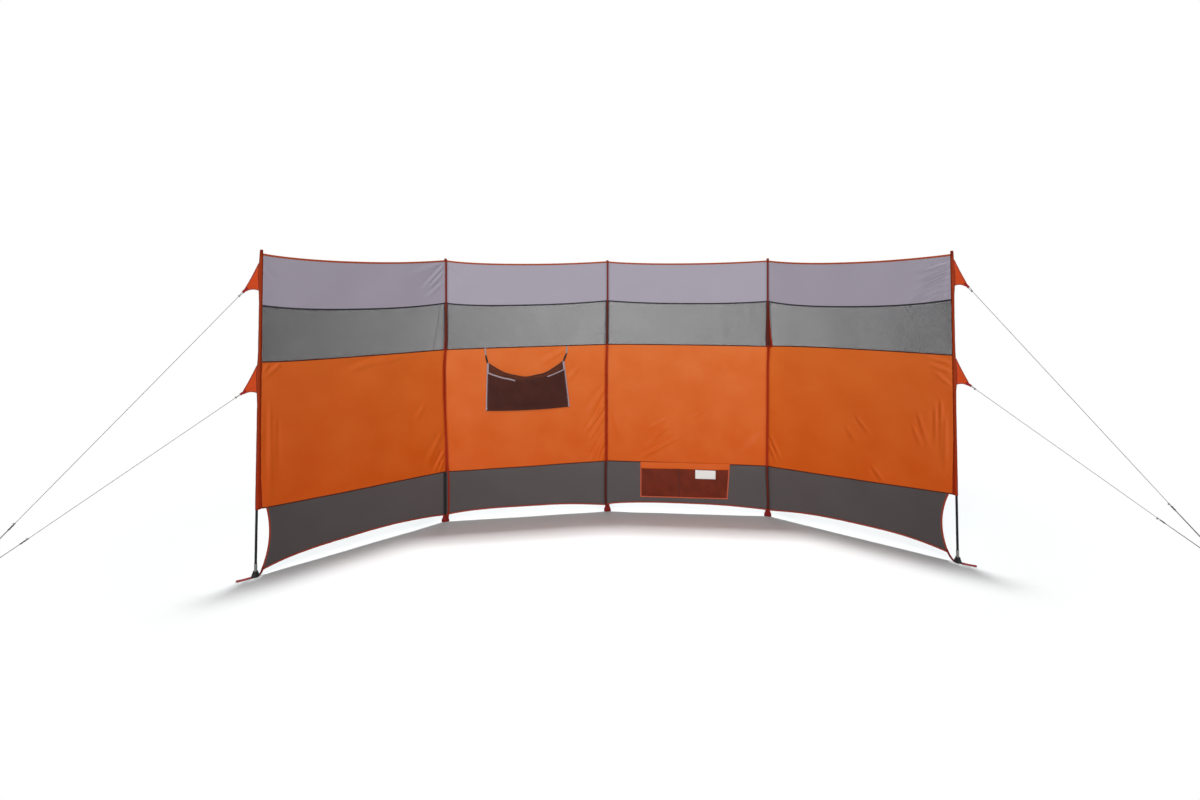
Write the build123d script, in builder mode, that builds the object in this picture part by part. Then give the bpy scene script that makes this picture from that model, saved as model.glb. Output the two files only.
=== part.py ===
from build123d import *
import os
from math import cos, radians, sin, tan

# Beach windbreak: five upright poles carry four bays of cloth and mesh, curved in plan, with two guy lines
# from every pole to one ground peg. The origin is on the ground under the centre pole, +X runs to the right
# as seen from the sheltered side, +Y points to the windward back and +Z is up. All lengths are millimetres.

# Plan: the bays turn forward from the centre pole, the end bays the most
bay_width = 955.0
inner_bay_angle = 7.0
outer_bay_angle = 40.0

# Poles: black fibreglass rods, the two end poles leaning inwards at the top
pole_height = 1520.0
pole_diameter = 11.0
pole_tip_round = 3.0
end_tip_inset = 25.0

# Cloth: heights of its strips at the poles, and the drop of each edge or seam at the middle of a bay
pole_tip_show = 8.0
top_band_height = 244.0
window_height = 265.0
skirt_seam_height = 298.0
cloth_top_drop = 24.0
top_seam_drop = 22.0
window_seam_drop = 5.0
skirt_seam_drop = 3.0
hem_rise = 32.0

# Cloth: thickness, and the widths of its bindings and tapes
cloth_thickness = 1.2
tape_thickness = 2.4
top_binding_width = 12.0
top_tape_width = 11.0
window_tape_width = 10.0
skirt_tape_width = 10.0
hem_binding_width = 10.0
side_binding_width = 10.0

# Pole sleeves: a sewn tube behind a flat strip, and at the end poles a flat hem in line with the cloth
sleeve_clearance = 0.4
sleeve_wall = 1.4
strip_width = 12.0
strip_thickness = 2.4
seam_clearance = 0.4
end_hem_width = 20.0

# Skirt at the end poles: its outer edge is a hollow curve, given by distances in from the pole's foot
skirt_inset_top = 46.0
skirt_inset_middle = 64.0
skirt_inset_bottom = 42.0

# Feet: webbing pockets under the middle poles, moulded feet on webbing straps under the end poles
foot_pocket_width = 30.0
foot_pocket_depth = 24.0
foot_pocket_height = 36.0
foot_pocket_wall = 2.0
foot_pocket_floor = 3.0
foot_pocket_corner = 8.0
strip_tuck = 20.0
strap_width = 25.0
strap_thickness = 2.0
strap_tail = 78.0
strap_inner_reach = 38.0
strap_riser_width = 14.0
strap_riser_height = 58.0
strap_riser_shift = 26.0
strap_end_round = 11.0
eyelet_diameter = 10.0
eyelet_distance = 60.0
foot_base_diameter = 42.0
foot_base_height = 5.0
foot_boss_diameter = 21.0
foot_boss_height = 20.0
foot_edge_round = 1.5
foot_bore_clearance = 0.5
foot_seat_clearance = 0.3
ferrule_length = 34.0
ferrule_wall = 1.2
ferrule_clearance = 0.15

# Guys: a cloth tab on the sleeve, a webbing loop at its tip, a taut line and a hooked peg
upper_tab_drop = 31.0
tab_height = 135.0
tab_reach = 48.0
tab_tip_rise = 4.0
tab_tip_height = 18.0
tab_hollow = 5.0
tab_clearance = 0.3
loop_length = 28.0
loop_width = 12.0
loop_thickness = 3.0
line_diameter = 3.0
peg_reach = 1250.0
end_guy_turn = 36.0
peg_diameter = 6.0
peg_shaft = 44.0
peg_lean = 15.0
peg_hook_radius = 9.0
peg_hook_turn = 150.0
upper_line_peg_height = 28.0
lower_line_peg_height = 15.0
runner_distance = 320.0
runner_length = 30.0
runner_diameter = 10.0
runner_clearance = 0.2

# Hanging mesh pocket on the left bay: two straps from the window seam carry its back
hanging_top_width = 446.0
hanging_bottom_width = 484.0
hanging_drop = 87.0
hanging_height = 276.0
hanging_back_drop = 88.0
hanging_front_height = 220.0
hanging_front_drop = 56.0
hanging_depth = 18.0
hanging_binding_width = 8.0
hanging_strap_width = 8.0
hanging_strap_thickness = 3.0
hanging_strap_overlap = 14.0

# Sewn mesh pocket on the right bay's skirt
sewn_left = 191.0
sewn_width = 533.0
sewn_bottom = 91.0
sewn_height = 207.0
sewn_band_height = 42.0
sewn_divider = 231.0
sewn_depth = 12.0
sewn_binding_width = 11.0

# One overrun serves every cut
overrun = 20.0

# Derived sizes
cloth_top = pole_height - pole_tip_show
top_seam_height = cloth_top - top_band_height
window_seam_height = top_seam_height - window_height
upper_tab_base = cloth_top - upper_tab_drop - tab_height
lower_tab_base = window_seam_height - tab_height
hanging_bottom = window_seam_height - hanging_drop - hanging_height
pole_radius = pole_diameter / 2
sleeve_bore = pole_radius + sleeve_clearance
sleeve_radius = sleeve_bore + sleeve_wall
strip_centre = sleeve_bore + strip_thickness / 2
hem_height = foot_pocket_height + seam_clearance
foot_floor = strap_thickness + foot_base_height
foot_top = foot_floor + foot_boss_height
skirt_top = skirt_seam_height - skirt_tape_width / 2
up = Vector(0, 0, 1)

pole_names = ("left_end", "left", "centre", "right", "right_end")
bay_names = ("left_end_bay", "left_bay", "right_bay", "right_end_bay")
middle_poles = (1, 2, 3)
end_poles = (0, 4)
end_bays = {0: 0, 4: 3}
hanging_bay = 1
sewn_bay = 2


# Pole feet on the ground, mirrored about the centre pole
inner_step = Vector(bay_width, 0, 0).rotate(Axis.Z, -inner_bay_angle)
outer_step = Vector(bay_width, 0, 0).rotate(Axis.Z, -outer_bay_angle)
right_feet = [inner_step, inner_step + outer_step]
left_feet = [Vector(-foot.X, foot.Y, 0) for foot in reversed(right_feet)]
feet = left_feet + [Vector(0, 0, 0)] + right_feet

# Direction along the cloth at each pole, and the direction out of its windward back
along = []
for pole in range(len(feet)):
    before = feet[max(pole - 1, 0)]
    after = feet[min(pole + 1, len(feet) - 1)]
    if pole in middle_poles:
        before = feet[pole] - (feet[pole] - before).normalized()
        after = feet[pole] + (after - feet[pole]).normalized()
    along.append((after - before).normalized())
back = [up.cross(direction) for direction in along]


# Ends of the cloth in plan: on an end pole's axis, or beside the strip of a middle pole's sleeve
def cloth_point(pole, side):
    if pole in end_poles:
        return feet[pole]
    beside_strip = strip_width / 2 + seam_clearance
    return feet[pole] - back[pole] * strip_centre + along[pole] * (side * beside_strip)


bay_planes = []
spans = []
for bay in range(len(bay_names)):
    left_point = cloth_point(bay, 1)
    right_point = cloth_point(bay + 1, -1)
    run = right_point - left_point
    spans.append(run.length)
    bay_planes.append(Plane(origin=left_point, x_dir=run, z_dir=run.cross(up)))


# Lean of a pole's axis, in the plane of its bay, and the frame that stands on its foot
def pole_axis(pole):
    if pole in middle_poles:
        return up
    inward = bay_planes[end_bays[pole]].x_dir
    side = 1 if pole == end_poles[0] else -1
    return (up * pole_height + inward * (side * end_tip_inset)).normalized()


pole_axes = [pole_axis(pole) for pole in range(len(feet))]
pole_planes = [
    Plane(origin=foot, x_dir=back_way.cross(axis), z_dir=axis)
    for foot, back_way, axis in zip(feet, back, pole_axes)
]

# Horizontal way that each pole's guys pull, and the foot of its peg
guy_ways = []
for pole in range(len(feet)):
    if pole in middle_poles:
        guy_ways.append(back[pole])
    else:
        side = -1 if pole == end_poles[0] else 1
        outward = bay_planes[end_bays[pole]].x_dir * side
        guy_ways.append(outward.rotate(Axis.Z, side * end_guy_turn))
peg_feet = [foot + way * peg_reach for foot, way in zip(feet, guy_ways)]


# Edges of the tapes and bindings, each as its height at the poles and its drop at the middle of a bay
top_panel_edge = (cloth_top - top_binding_width, cloth_top_drop)
edge_sides = (1, -1)
top_tape_edges = [
    (top_seam_height + side * top_tape_width / 2, top_seam_drop) for side in edge_sides
]
window_tape_edges = [
    (window_seam_height + side * window_tape_width / 2, window_seam_drop) for side in edge_sides
]
skirt_tape_edges = [
    (skirt_seam_height + side * skirt_tape_width / 2, skirt_seam_drop) for side in edge_sides
]
hem_edges = [(hem_height + hem_binding_width, -hem_rise), (hem_height, -hem_rise)]


# Distance from the end pole's side of a bay, in the bay's own frame
def from_end(bay, distance):
    return distance if bay == end_bays[end_poles[0]] else spans[bay] - distance


# Left, middle and right points of a seam or edge, in the bay's own frame
def seam_points(bay, height, drop):
    leaning_edge = end_hem_width + end_tip_inset * height / pole_height
    left = leaning_edge if bay == end_bays[end_poles[0]] else 0
    right = spans[bay] - leaning_edge if bay == end_bays[end_poles[1]] else spans[bay]
    return (left, height), ((left + right) / 2, height - drop), (right, height)


# One strip of cloth between two hanging edges, each given as its height at the poles and its drop
def strip_sketch(bay, upper, lower):
    with BuildSketch(bay_planes[bay]) as sketch:
        with BuildLine():
            top = ThreePointArc(*seam_points(bay, *upper))
            bottom = ThreePointArc(*seam_points(bay, *lower))
            Line(top @ 0, bottom @ 0)
            Line(top @ 1, bottom @ 1)
        make_face()
    return sketch.sketch


# Hollow side curve of an end bay's skirt, moved inwards by a distance
def side_curve_points(bay, shift):
    middle_height = (skirt_seam_height + hem_height) / 2
    return (
        (from_end(bay, skirt_inset_top + shift), skirt_seam_height),
        (from_end(bay, skirt_inset_middle + shift), middle_height),
        (from_end(bay, skirt_inset_bottom + shift), hem_height),
    )


# A strip of the skirt, cut back along the side curve where the bay ends at an end pole
def skirt_sketch(bay, upper, lower, shift):
    with BuildSketch(bay_planes[bay]) as sketch:
        with BuildLine():
            top = ThreePointArc(*seam_points(bay, *upper))
            bottom = ThreePointArc(*seam_points(bay, *lower))
            Line(top @ 0, bottom @ 0)
            Line(top @ 1, bottom @ 1)
        make_face()
        if bay in end_bays.values():
            with BuildLine():
                curve = ThreePointArc(*side_curve_points(bay, shift))
                Polyline(
                    curve @ 0,
                    (from_end(bay, -overrun), skirt_seam_height),
                    (from_end(bay, -overrun), hem_height),
                    curve @ 1,
                )
            make_face(mode=Mode.SUBTRACT)
    return sketch.sketch


# The binding along an end skirt's side curve, from the skirt seam's tape down to the hem's lower edge
def side_binding_sketch(bay):
    with BuildSketch(bay_planes[bay]) as sketch:
        with BuildLine():
            outer = ThreePointArc(*side_curve_points(bay, 0))
            inner = ThreePointArc(*side_curve_points(bay, side_binding_width))
            Line(outer @ 0, inner @ 0)
            Line(outer @ 1, inner @ 1)
        make_face()
        with BuildLine():
            top = ThreePointArc(*seam_points(bay, *skirt_tape_edges[1]))
            bottom = ThreePointArc(*seam_points(bay, *hem_edges[1]))
            Line(top @ 0, bottom @ 0)
            Line(top @ 1, bottom @ 1)
        make_face(mode=Mode.INTERSECT)
    return sketch.sketch


# Frame at the start of a straight rod or line that runs to another point
def rod_plane(start, end):
    return Plane(origin=start, z_dir=end - start)


os.makedirs("parts", exist_ok=True)


def save(builder, node):
    builder.part.label = node
    export_step(builder.part, f"parts/{node}.step")


# Poles: each rod stands on the floor of its foot, with a rounded tip
for pole, name in enumerate(pole_names):
    start = foot_pocket_floor if pole in middle_poles else foot_floor + foot_seat_clearance
    with BuildPart() as rod:
        with BuildSketch(pole_planes[pole].offset(start)):
            Circle(pole_radius)
        extrude(amount=pole_height - start)
        fillet(rod.faces().sort_by(Axis.Z)[-1].edges(), pole_tip_round)
    save(rod, f"{name}_pole")

# Sleeves: a tube on the pole from the skirt seam to the top edge
for pole, name in enumerate(pole_names):
    with BuildPart() as sleeve:
        with BuildSketch(pole_planes[pole].offset(skirt_top)):
            Circle(sleeve_radius)
        extrude(amount=cloth_top - skirt_top)
        if pole in middle_poles:
            strip_plane = Plane(origin=feet[pole], x_dir=along[pole], z_dir=-back[pole])
            with BuildSketch(strip_plane.offset(sleeve_bore)):
                with Locations((0, (skirt_top + cloth_top) / 2)):
                    Rectangle(strip_width, cloth_top - skirt_top)
            extrude(amount=strip_thickness)
        else:
            bay = end_bays[pole]
            with BuildSketch(bay_planes[bay]):
                with BuildLine():
                    Polyline(
                        (from_end(bay, end_tip_inset * skirt_top / pole_height), skirt_top),
                        (from_end(bay, end_tip_inset * skirt_top / pole_height + end_hem_width), skirt_top),
                        (from_end(bay, end_tip_inset * cloth_top / pole_height + end_hem_width), cloth_top),
                        (from_end(bay, end_tip_inset * cloth_top / pole_height), cloth_top),
                        close=True,
                    )
                make_face()
            extrude(amount=tape_thickness / 2, both=True)
        with BuildSketch(pole_planes[pole].offset(skirt_top - overrun)):
            Circle(sleeve_bore)
        extrude(amount=cloth_top - skirt_top + 2 * overrun, mode=Mode.SUBTRACT)
    save(sleeve, f"{name}_sleeve")

# Panels: plain top band, window mesh, main panel and skirt mesh of every bay
panel_edges = {
    "top_band": (top_panel_edge, top_tape_edges[0]),
    "window_mesh": (top_tape_edges[1], window_tape_edges[0]),
    "main_panel": (window_tape_edges[1], skirt_tape_edges[0]),
}
for bay, name in enumerate(bay_names):
    for panel_name, (upper, lower) in panel_edges.items():
        with BuildPart() as panel:
            extrude(strip_sketch(bay, upper, lower), amount=cloth_thickness / 2, both=True)
        save(panel, f"{name}_{panel_name}")
    with BuildPart() as skirt:
        skirt_face = skirt_sketch(bay, skirt_tape_edges[1], hem_edges[0], side_binding_width)
        extrude(skirt_face, amount=cloth_thickness / 2, both=True)
    save(skirt, f"{name}_skirt_mesh")

# Bindings and seam tapes: one length in each bay, between the panels that it joins
tape_edges = {
    "top_bindings": ((cloth_top, cloth_top_drop), top_panel_edge),
    "top_seam_tapes": top_tape_edges,
    "window_seam_tapes": window_tape_edges,
    "skirt_seam_tapes": skirt_tape_edges,
}
for tape_name, (upper, lower) in tape_edges.items():
    with BuildPart() as tapes:
        for bay in range(len(bay_names)):
            extrude(strip_sketch(bay, upper, lower), amount=tape_thickness / 2, both=True)
    save(tapes, tape_name)

with BuildPart() as hems:
    for bay in range(len(bay_names)):
        hem_face = skirt_sketch(bay, hem_edges[0], hem_edges[1], side_binding_width)
        extrude(hem_face, amount=tape_thickness / 2, both=True)
save(hems, "hem_bindings")

# Bindings down the hollow outer edges of the end skirts
with BuildPart() as side_bindings:
    for bay in end_bays.values():
        extrude(side_binding_sketch(bay), amount=tape_thickness / 2, both=True)
save(side_bindings, "skirt_side_bindings")

# Strips that join the skirts in front of the bare feet of the middle poles, tucked into the foot pockets
with BuildPart() as skirt_strips:
    for pole in middle_poles:
        strip_plane = Plane(origin=feet[pole], x_dir=along[pole], z_dir=-back[pole])
        strip_bottom = foot_pocket_height - strip_tuck
        with BuildSketch(strip_plane.offset(sleeve_bore)):
            with Locations((0, (strip_bottom + skirt_top) / 2)):
                Rectangle(strip_width, skirt_top - strip_bottom)
        extrude(amount=strip_thickness)
save(skirt_strips, "skirt_strips")

# Webbing pockets that hold the feet of the middle poles
with BuildPart() as foot_pockets:
    for pole in middle_poles:
        ground = Plane(origin=feet[pole], x_dir=along[pole], z_dir=up)
        with BuildSketch(ground):
            RectangleRounded(foot_pocket_width, foot_pocket_depth, foot_pocket_corner)
        extrude(amount=foot_pocket_height)
        with BuildSketch(ground.offset(foot_pocket_floor)):
            RectangleRounded(
                foot_pocket_width - 2 * foot_pocket_wall,
                foot_pocket_depth - 2 * foot_pocket_wall,
                foot_pocket_corner - foot_pocket_wall,
            )
        extrude(amount=foot_pocket_height, mode=Mode.SUBTRACT)
save(foot_pockets, "foot_pockets")

# Webbing straps under the end feet: a tail with a peg eyelet, and a riser sewn to the skirt's corner
with BuildPart() as end_straps:
    for pole in end_poles:
        bay = end_bays[pole]
        outward_sign = -1 if pole == end_poles[0] else 1
        outward = bay_planes[bay].x_dir * outward_sign
        ground = Plane(origin=feet[pole], x_dir=outward, z_dir=up)
        with BuildSketch(ground):
            with Locations(((strap_tail - strap_inner_reach) / 2, 0)):
                Rectangle(strap_tail + strap_inner_reach, strap_width)
            fillet(vertices().group_by(Axis.X, tol_digits=1)[-1 if outward.X > 0 else 0], strap_end_round)
            with Locations((eyelet_distance, 0)):
                Circle(eyelet_diameter / 2, mode=Mode.SUBTRACT)
        extrude(amount=strap_thickness)
        riser_foot = strap_inner_reach - strap_riser_width
        with BuildSketch(bay_planes[bay].offset(tape_thickness / 2)):
            with BuildLine():
                Polyline(
                    (from_end(bay, riser_foot), 0),
                    (from_end(bay, strap_inner_reach), 0),
                    (from_end(bay, strap_inner_reach + strap_riser_shift), strap_riser_height),
                    (from_end(bay, riser_foot + strap_riser_shift), strap_riser_height),
                    close=True,
                )
            make_face()
        extrude(amount=strap_thickness)
save(end_straps, "end_foot_straps")

# Moulded feet of the end poles: a round base and a boss with a blind bore for the rod
with BuildPart() as end_feet:
    for pole in end_poles:
        ground = Plane(origin=feet[pole], z_dir=up)
        with BuildSketch(ground.offset(strap_thickness)):
            Circle(foot_base_diameter / 2)
        extrude(amount=foot_base_height)
        with BuildSketch(ground.offset(foot_floor)):
            Circle(foot_boss_diameter / 2)
        extrude(amount=foot_boss_height)
        with BuildSketch(ground.offset(foot_floor)):
            Circle(pole_radius + foot_bore_clearance)
        extrude(amount=foot_boss_height, mode=Mode.SUBTRACT)
    base_tops = end_feet.faces().filter_by(Axis.Z).group_by(Axis.Z)[-2]
    fillet(base_tops.edges().group_by(SortBy.LENGTH)[-1], foot_edge_round)
save(end_feet, "end_feet")

# Steel ferrules on the rods just above the moulded feet
with BuildPart() as ferrules:
    for pole in end_poles:
        ferrule_bore = pole_radius + ferrule_clearance
        with BuildSketch(pole_planes[pole].offset(foot_top + foot_seat_clearance)):
            Circle(ferrule_bore + ferrule_wall)
            Circle(ferrule_bore, mode=Mode.SUBTRACT)
        extrude(amount=ferrule_length)
save(ferrules, "end_ferrules")


# Frame of a guy tab: origin on the pole's axis at the tab's base, x along the pull, y up the pole
def tab_plane(pole, base):
    axis = pole_axes[pole]
    side_way = axis.cross(guy_ways[pole]).normalized()
    outward = side_way.cross(axis)
    return Plane(origin=feet[pole] + axis * base, x_dir=outward, z_dir=outward.cross(axis))


# Point on a peg's shaft where a line is hitched, on the side that faces the pole
def hitch_point(pole, height):
    shaft_shift = height * tan(radians(peg_lean)) - peg_diameter / 2 - line_diameter / 2
    return peg_feet[pole] + guy_ways[pole] * shaft_shift + up * height


# The two guys of every pole: tab frame, point on the peg, and the pull in the tab's own frame
tab_inner = sleeve_radius + tab_clearance
tab_tip = tab_inner + tab_reach
tip_middle = tab_tip_rise + tab_tip_height / 2
tab_ends = ((upper_tab_base, upper_line_peg_height), (lower_tab_base, lower_line_peg_height))
guys = []
for pole in range(len(feet)):
    for base, hitch_height in tab_ends:
        plane = tab_plane(pole, base)
        hitch = hitch_point(pole, hitch_height)
        local_hitch = plane.to_local_coords(hitch)
        pull = Vector(local_hitch.X - tab_tip, local_hitch.Y - tip_middle, 0).normalized()
        loop_end = plane.from_local_coords(Vector(tab_tip, tip_middle, 0) + pull * loop_length)
        guys.append((plane, pull, loop_end, hitch))

# Cloth tabs: straight along the sleeve, with a hollow lower edge
with BuildPart() as tabs:
    for plane, pull, loop_end, hitch in guys:
        with BuildSketch(plane):
            with BuildLine():
                lower = ThreePointArc(
                    (tab_inner, 0),
                    ((tab_inner + tab_tip) / 2, tab_tip_rise / 2 + tab_hollow),
                    (tab_tip, tab_tip_rise),
                )
                Polyline(
                    lower @ 1,
                    (tab_tip, tab_tip_rise + tab_tip_height),
                    (tab_inner, tab_height),
                    lower @ 0,
                )
            make_face()
        extrude(amount=cloth_thickness / 2, both=True)
save(tabs, "guy_tabs")

# Webbing loops: from the tab's tip to a square end across the pull
with BuildPart() as loops:
    for plane, pull, loop_end, hitch in guys:
        end_middle = Vector(tab_tip, tip_middle, 0) + pull * loop_length
        across = Vector(-pull.Y, pull.X, 0) * (loop_width / 2)
        with BuildSketch(plane):
            with BuildLine():
                Polyline(
                    (tab_tip, tab_tip_rise),
                    end_middle - across,
                    end_middle + across,
                    (tab_tip, tab_tip_rise + tab_tip_height),
                    close=True,
                )
            make_face()
        extrude(amount=loop_thickness / 2, both=True)
save(loops, "guy_loops")

# Guy lines: taut and straight from the loop to the peg
with BuildPart() as lines:
    for plane, pull, loop_end, hitch in guys:
        with BuildSketch(rod_plane(loop_end, hitch).offset(tab_clearance)):
            Circle(line_diameter / 2)
        extrude(amount=(hitch - loop_end).length - tab_clearance)
save(lines, "guy_lines")

# Line runners: a short moulded slide on each line, above the peg
with BuildPart() as runners:
    for plane, pull, loop_end, hitch in guys:
        with BuildSketch(rod_plane(hitch, loop_end).offset(runner_distance)):
            Circle(runner_diameter / 2)
            Circle(line_diameter / 2 + runner_clearance, mode=Mode.SUBTRACT)
        extrude(amount=runner_length)
save(runners, "line_runners")

# Ground pegs: a leaning wire shaft, level with the ground at its foot, bent over into a hook
with BuildPart() as pegs:
    for pole in range(len(feet)):
        peg_plane = Plane(origin=peg_feet[pole], x_dir=guy_ways[pole], z_dir=guy_ways[pole].cross(up))
        lean_way = (sin(radians(peg_lean)), cos(radians(peg_lean)))
        with BuildLine(peg_plane) as wire:
            shaft = Line(
                (-overrun * lean_way[0], -overrun * lean_way[1]),
                (peg_shaft * lean_way[0], peg_shaft * lean_way[1]),
            )
            JernArc(start=shaft @ 1, tangent=shaft % 1, radius=peg_hook_radius, arc_size=-peg_hook_turn)
        with BuildSketch(Plane(origin=wire.line @ 0, z_dir=wire.line % 0)):
            Circle(peg_diameter / 2)
        sweep(path=wire.line)
    split(bisect_by=Plane.XY, keep=Keep.TOP)
save(pegs, "ground_pegs")

# Hanging pocket: outline points in the bay's frame, about the middle of the bay
hanging_middle = spans[hanging_bay] / 2
hanging_plane = bay_planes[hanging_bay]
hanging_back = tape_thickness / 2 + hanging_strap_thickness
hanging_front = hanging_back + cloth_thickness + hanging_depth


# Half width of the hanging pocket at a height above its bottom edge
def hanging_half(height):
    return (hanging_bottom_width + (hanging_top_width - hanging_bottom_width) * height / hanging_height) / 2


def hanging_sheet(offset, height, drop):
    half = hanging_half(height)
    with BuildSketch(hanging_plane.offset(offset)) as sketch:
        with BuildLine():
            mouth = ThreePointArc(
                (hanging_middle - half, hanging_bottom + height),
                (hanging_middle, hanging_bottom + height - drop),
                (hanging_middle + half, hanging_bottom + height),
            )
            Polyline(
                mouth @ 1,
                (hanging_middle + hanging_bottom_width / 2, hanging_bottom),
                (hanging_middle - hanging_bottom_width / 2, hanging_bottom),
                mouth @ 0,
            )
        make_face()
    return sketch.sketch


with BuildPart() as hanging_back_sheet:
    extrude(hanging_sheet(hanging_back, hanging_height, hanging_back_drop), amount=cloth_thickness)
save(hanging_back_sheet, "hanging_pocket_back")

with BuildPart() as hanging_front_sheet:
    extrude(hanging_sheet(hanging_front, hanging_front_height, hanging_front_drop), amount=cloth_thickness)
save(hanging_front_sheet, "hanging_pocket_front")

# Bindings that close the hanging pocket's sides and bottom
with BuildPart() as hanging_bindings:
    side_foot = hanging_binding_width + seam_clearance
    for side in (-1, 1):
        foot_half = hanging_half(side_foot)
        mouth_half = hanging_half(hanging_front_height)
        mouth_height = hanging_bottom + hanging_front_height
        with BuildSketch(hanging_plane.offset(hanging_back + cloth_thickness)):
            with BuildLine():
                Polyline(
                    (hanging_middle + side * foot_half, hanging_bottom + side_foot),
                    (hanging_middle + side * mouth_half, mouth_height),
                    (hanging_middle + side * (mouth_half - hanging_binding_width), mouth_height),
                    (hanging_middle + side * (foot_half - hanging_binding_width), hanging_bottom + side_foot),
                    close=True,
                )
            make_face()
        extrude(amount=hanging_depth)
    with BuildSketch(hanging_plane.offset(hanging_back + cloth_thickness)):
        with Locations((hanging_middle, hanging_bottom + hanging_binding_width / 2)):
            Rectangle(hanging_bottom_width - 2 * hanging_binding_width, hanging_binding_width)
    extrude(amount=hanging_depth)
save(hanging_bindings, "hanging_pocket_bindings")

# Straps that hang the pocket from the window seam's tape
with BuildPart() as hanging_straps:
    strap_top = window_seam_height + window_tape_width / 2 - window_seam_drop
    strap_bottom = hanging_bottom + hanging_height - hanging_strap_overlap
    for side in (-1, 1):
        strap_u = hanging_middle + side * (hanging_top_width / 2 - hanging_strap_width)
        with BuildSketch(hanging_plane.offset(tape_thickness / 2)):
            with Locations((strap_u, (strap_top + strap_bottom) / 2)):
                Rectangle(hanging_strap_width, strap_top - strap_bottom)
        extrude(amount=hanging_strap_thickness)
save(hanging_straps, "hanging_pocket_straps")

# Sewn pocket: mesh front on bindings that stand off the skirt, open at the top behind an edge band
sewn_plane = bay_planes[sewn_bay]
sewn_front = cloth_thickness / 2 + sewn_depth
sewn_mesh_height = sewn_height - sewn_band_height
with BuildPart() as sewn_mesh:
    with BuildSketch(sewn_plane.offset(sewn_front)):
        with Locations((sewn_left + sewn_width / 2, sewn_bottom + sewn_mesh_height / 2)):
            Rectangle(sewn_width, sewn_mesh_height)
    extrude(amount=cloth_thickness)
save(sewn_mesh, "sewn_pocket_mesh")

with BuildPart() as sewn_band:
    with BuildSketch(sewn_plane.offset(sewn_front)):
        with Locations((sewn_left + sewn_width / 2, sewn_bottom + sewn_height - sewn_band_height / 2)):
            Rectangle(sewn_width, sewn_band_height)
    extrude(amount=cloth_thickness)
save(sewn_band, "sewn_pocket_band")

with BuildPart() as sewn_bindings:
    upright_bottom = sewn_bottom + sewn_binding_width + seam_clearance
    upright_top = skirt_top - skirt_seam_drop - seam_clearance
    uprights = (
        sewn_left + sewn_binding_width / 2,
        sewn_left + sewn_divider,
        sewn_left + sewn_width - sewn_binding_width / 2,
    )
    with BuildSketch(sewn_plane.offset(cloth_thickness / 2)):
        for upright in uprights:
            with Locations((upright, (upright_bottom + upright_top) / 2)):
                Rectangle(sewn_binding_width, upright_top - upright_bottom)
        with Locations((sewn_left + sewn_width / 2, sewn_bottom + sewn_binding_width / 2)):
            Rectangle(sewn_width, sewn_binding_width)
    extrude(amount=sewn_depth)
save(sewn_bindings, "sewn_pocket_bindings")
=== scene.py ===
"""Looks of a beach windbreak: cloth, netting, bindings, sleeves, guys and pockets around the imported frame.

Every length is in metres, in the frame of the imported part: +X to the right as seen from the sheltered
side, +Y to the windward back, +Z up. Cloth is worked out in the upright plane of its bay, with x along
the bay, z up and a lift towards the sheltered side.
"""
import logging
import math
from collections.abc import Callable, Mapping, Sequence
from dataclasses import dataclass, field
from enum import Enum

import bmesh
import bpy
import numpy as np
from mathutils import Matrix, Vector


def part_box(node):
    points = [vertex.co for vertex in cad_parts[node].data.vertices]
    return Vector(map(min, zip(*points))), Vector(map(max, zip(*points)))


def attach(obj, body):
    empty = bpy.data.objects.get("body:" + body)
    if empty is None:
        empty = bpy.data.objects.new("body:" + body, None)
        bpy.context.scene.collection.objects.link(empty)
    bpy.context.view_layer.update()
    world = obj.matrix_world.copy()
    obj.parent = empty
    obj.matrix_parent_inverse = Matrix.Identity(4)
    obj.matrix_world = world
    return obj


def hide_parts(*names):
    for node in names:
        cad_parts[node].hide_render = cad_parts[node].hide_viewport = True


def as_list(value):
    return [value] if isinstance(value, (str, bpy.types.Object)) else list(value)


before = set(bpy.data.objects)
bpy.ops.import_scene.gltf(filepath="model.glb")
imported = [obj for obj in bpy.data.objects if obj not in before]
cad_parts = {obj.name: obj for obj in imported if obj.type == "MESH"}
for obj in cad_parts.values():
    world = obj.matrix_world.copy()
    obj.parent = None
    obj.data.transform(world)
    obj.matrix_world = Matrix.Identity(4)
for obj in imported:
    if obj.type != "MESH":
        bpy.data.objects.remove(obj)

log = logging.getLogger("windbreak")
Array = np.ndarray
Numbers = Sequence[float]
Pair = tuple[float, float]
Triple = tuple[float, float, float]
Relief = Callable[[Array, Array], Array]
Tree = bpy.types.NodeTree
Socket = bpy.types.NodeSocket
Inputs = dict[int | str, object]

MM = 0.001
UP = np.array((0.0, 0.0, 1.0))
POLES = ("left_end", "left", "centre", "right", "right_end")
BAYS = ("left_end_bay", "left_bay", "right_bay", "right_end_bay")
MIDDLE_POLES = (1, 2, 3)
END_POLES = (0, 4)
PLACES = "surface"
# name of the attribute with the share of painted shade at each point, from 0 to 1
PAINTED_SHADE = "layers"
STRAP_SIDES = 14
STRAP_POWERS = (0.5, 0.8)
CORD_SIDES = 10


class Edge(Enum):
    """The five lines that run along a bay, from the top down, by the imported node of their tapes."""

    TOP = "top_bindings"
    TOP_SEAM = "top_seam_tapes"
    WINDOW_SEAM = "window_seam_tapes"
    SKIRT_SEAM = "skirt_seam_tapes"
    HEM = "hem_bindings"


class Tier(Enum):
    """The two guys of a pole."""

    UPPER = "upper"
    LOWER = "lower"


class Form(Enum):
    """How a grid of points is closed: on no side, round into a tube, or into a tube with closed ends."""

    SHEET = "sheet"
    TUBE = "tube"
    SOLID = "solid"


# Surfaces


def unit(vectors: Array) -> Array:
    """The vectors at length one."""
    return vectors / np.linalg.norm(vectors, axis=-1, keepdims=True)


def shares(count: int) -> Array:
    """Shares spread evenly from 0 to 1."""
    return np.linspace(0.0, 1.0, count)


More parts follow.
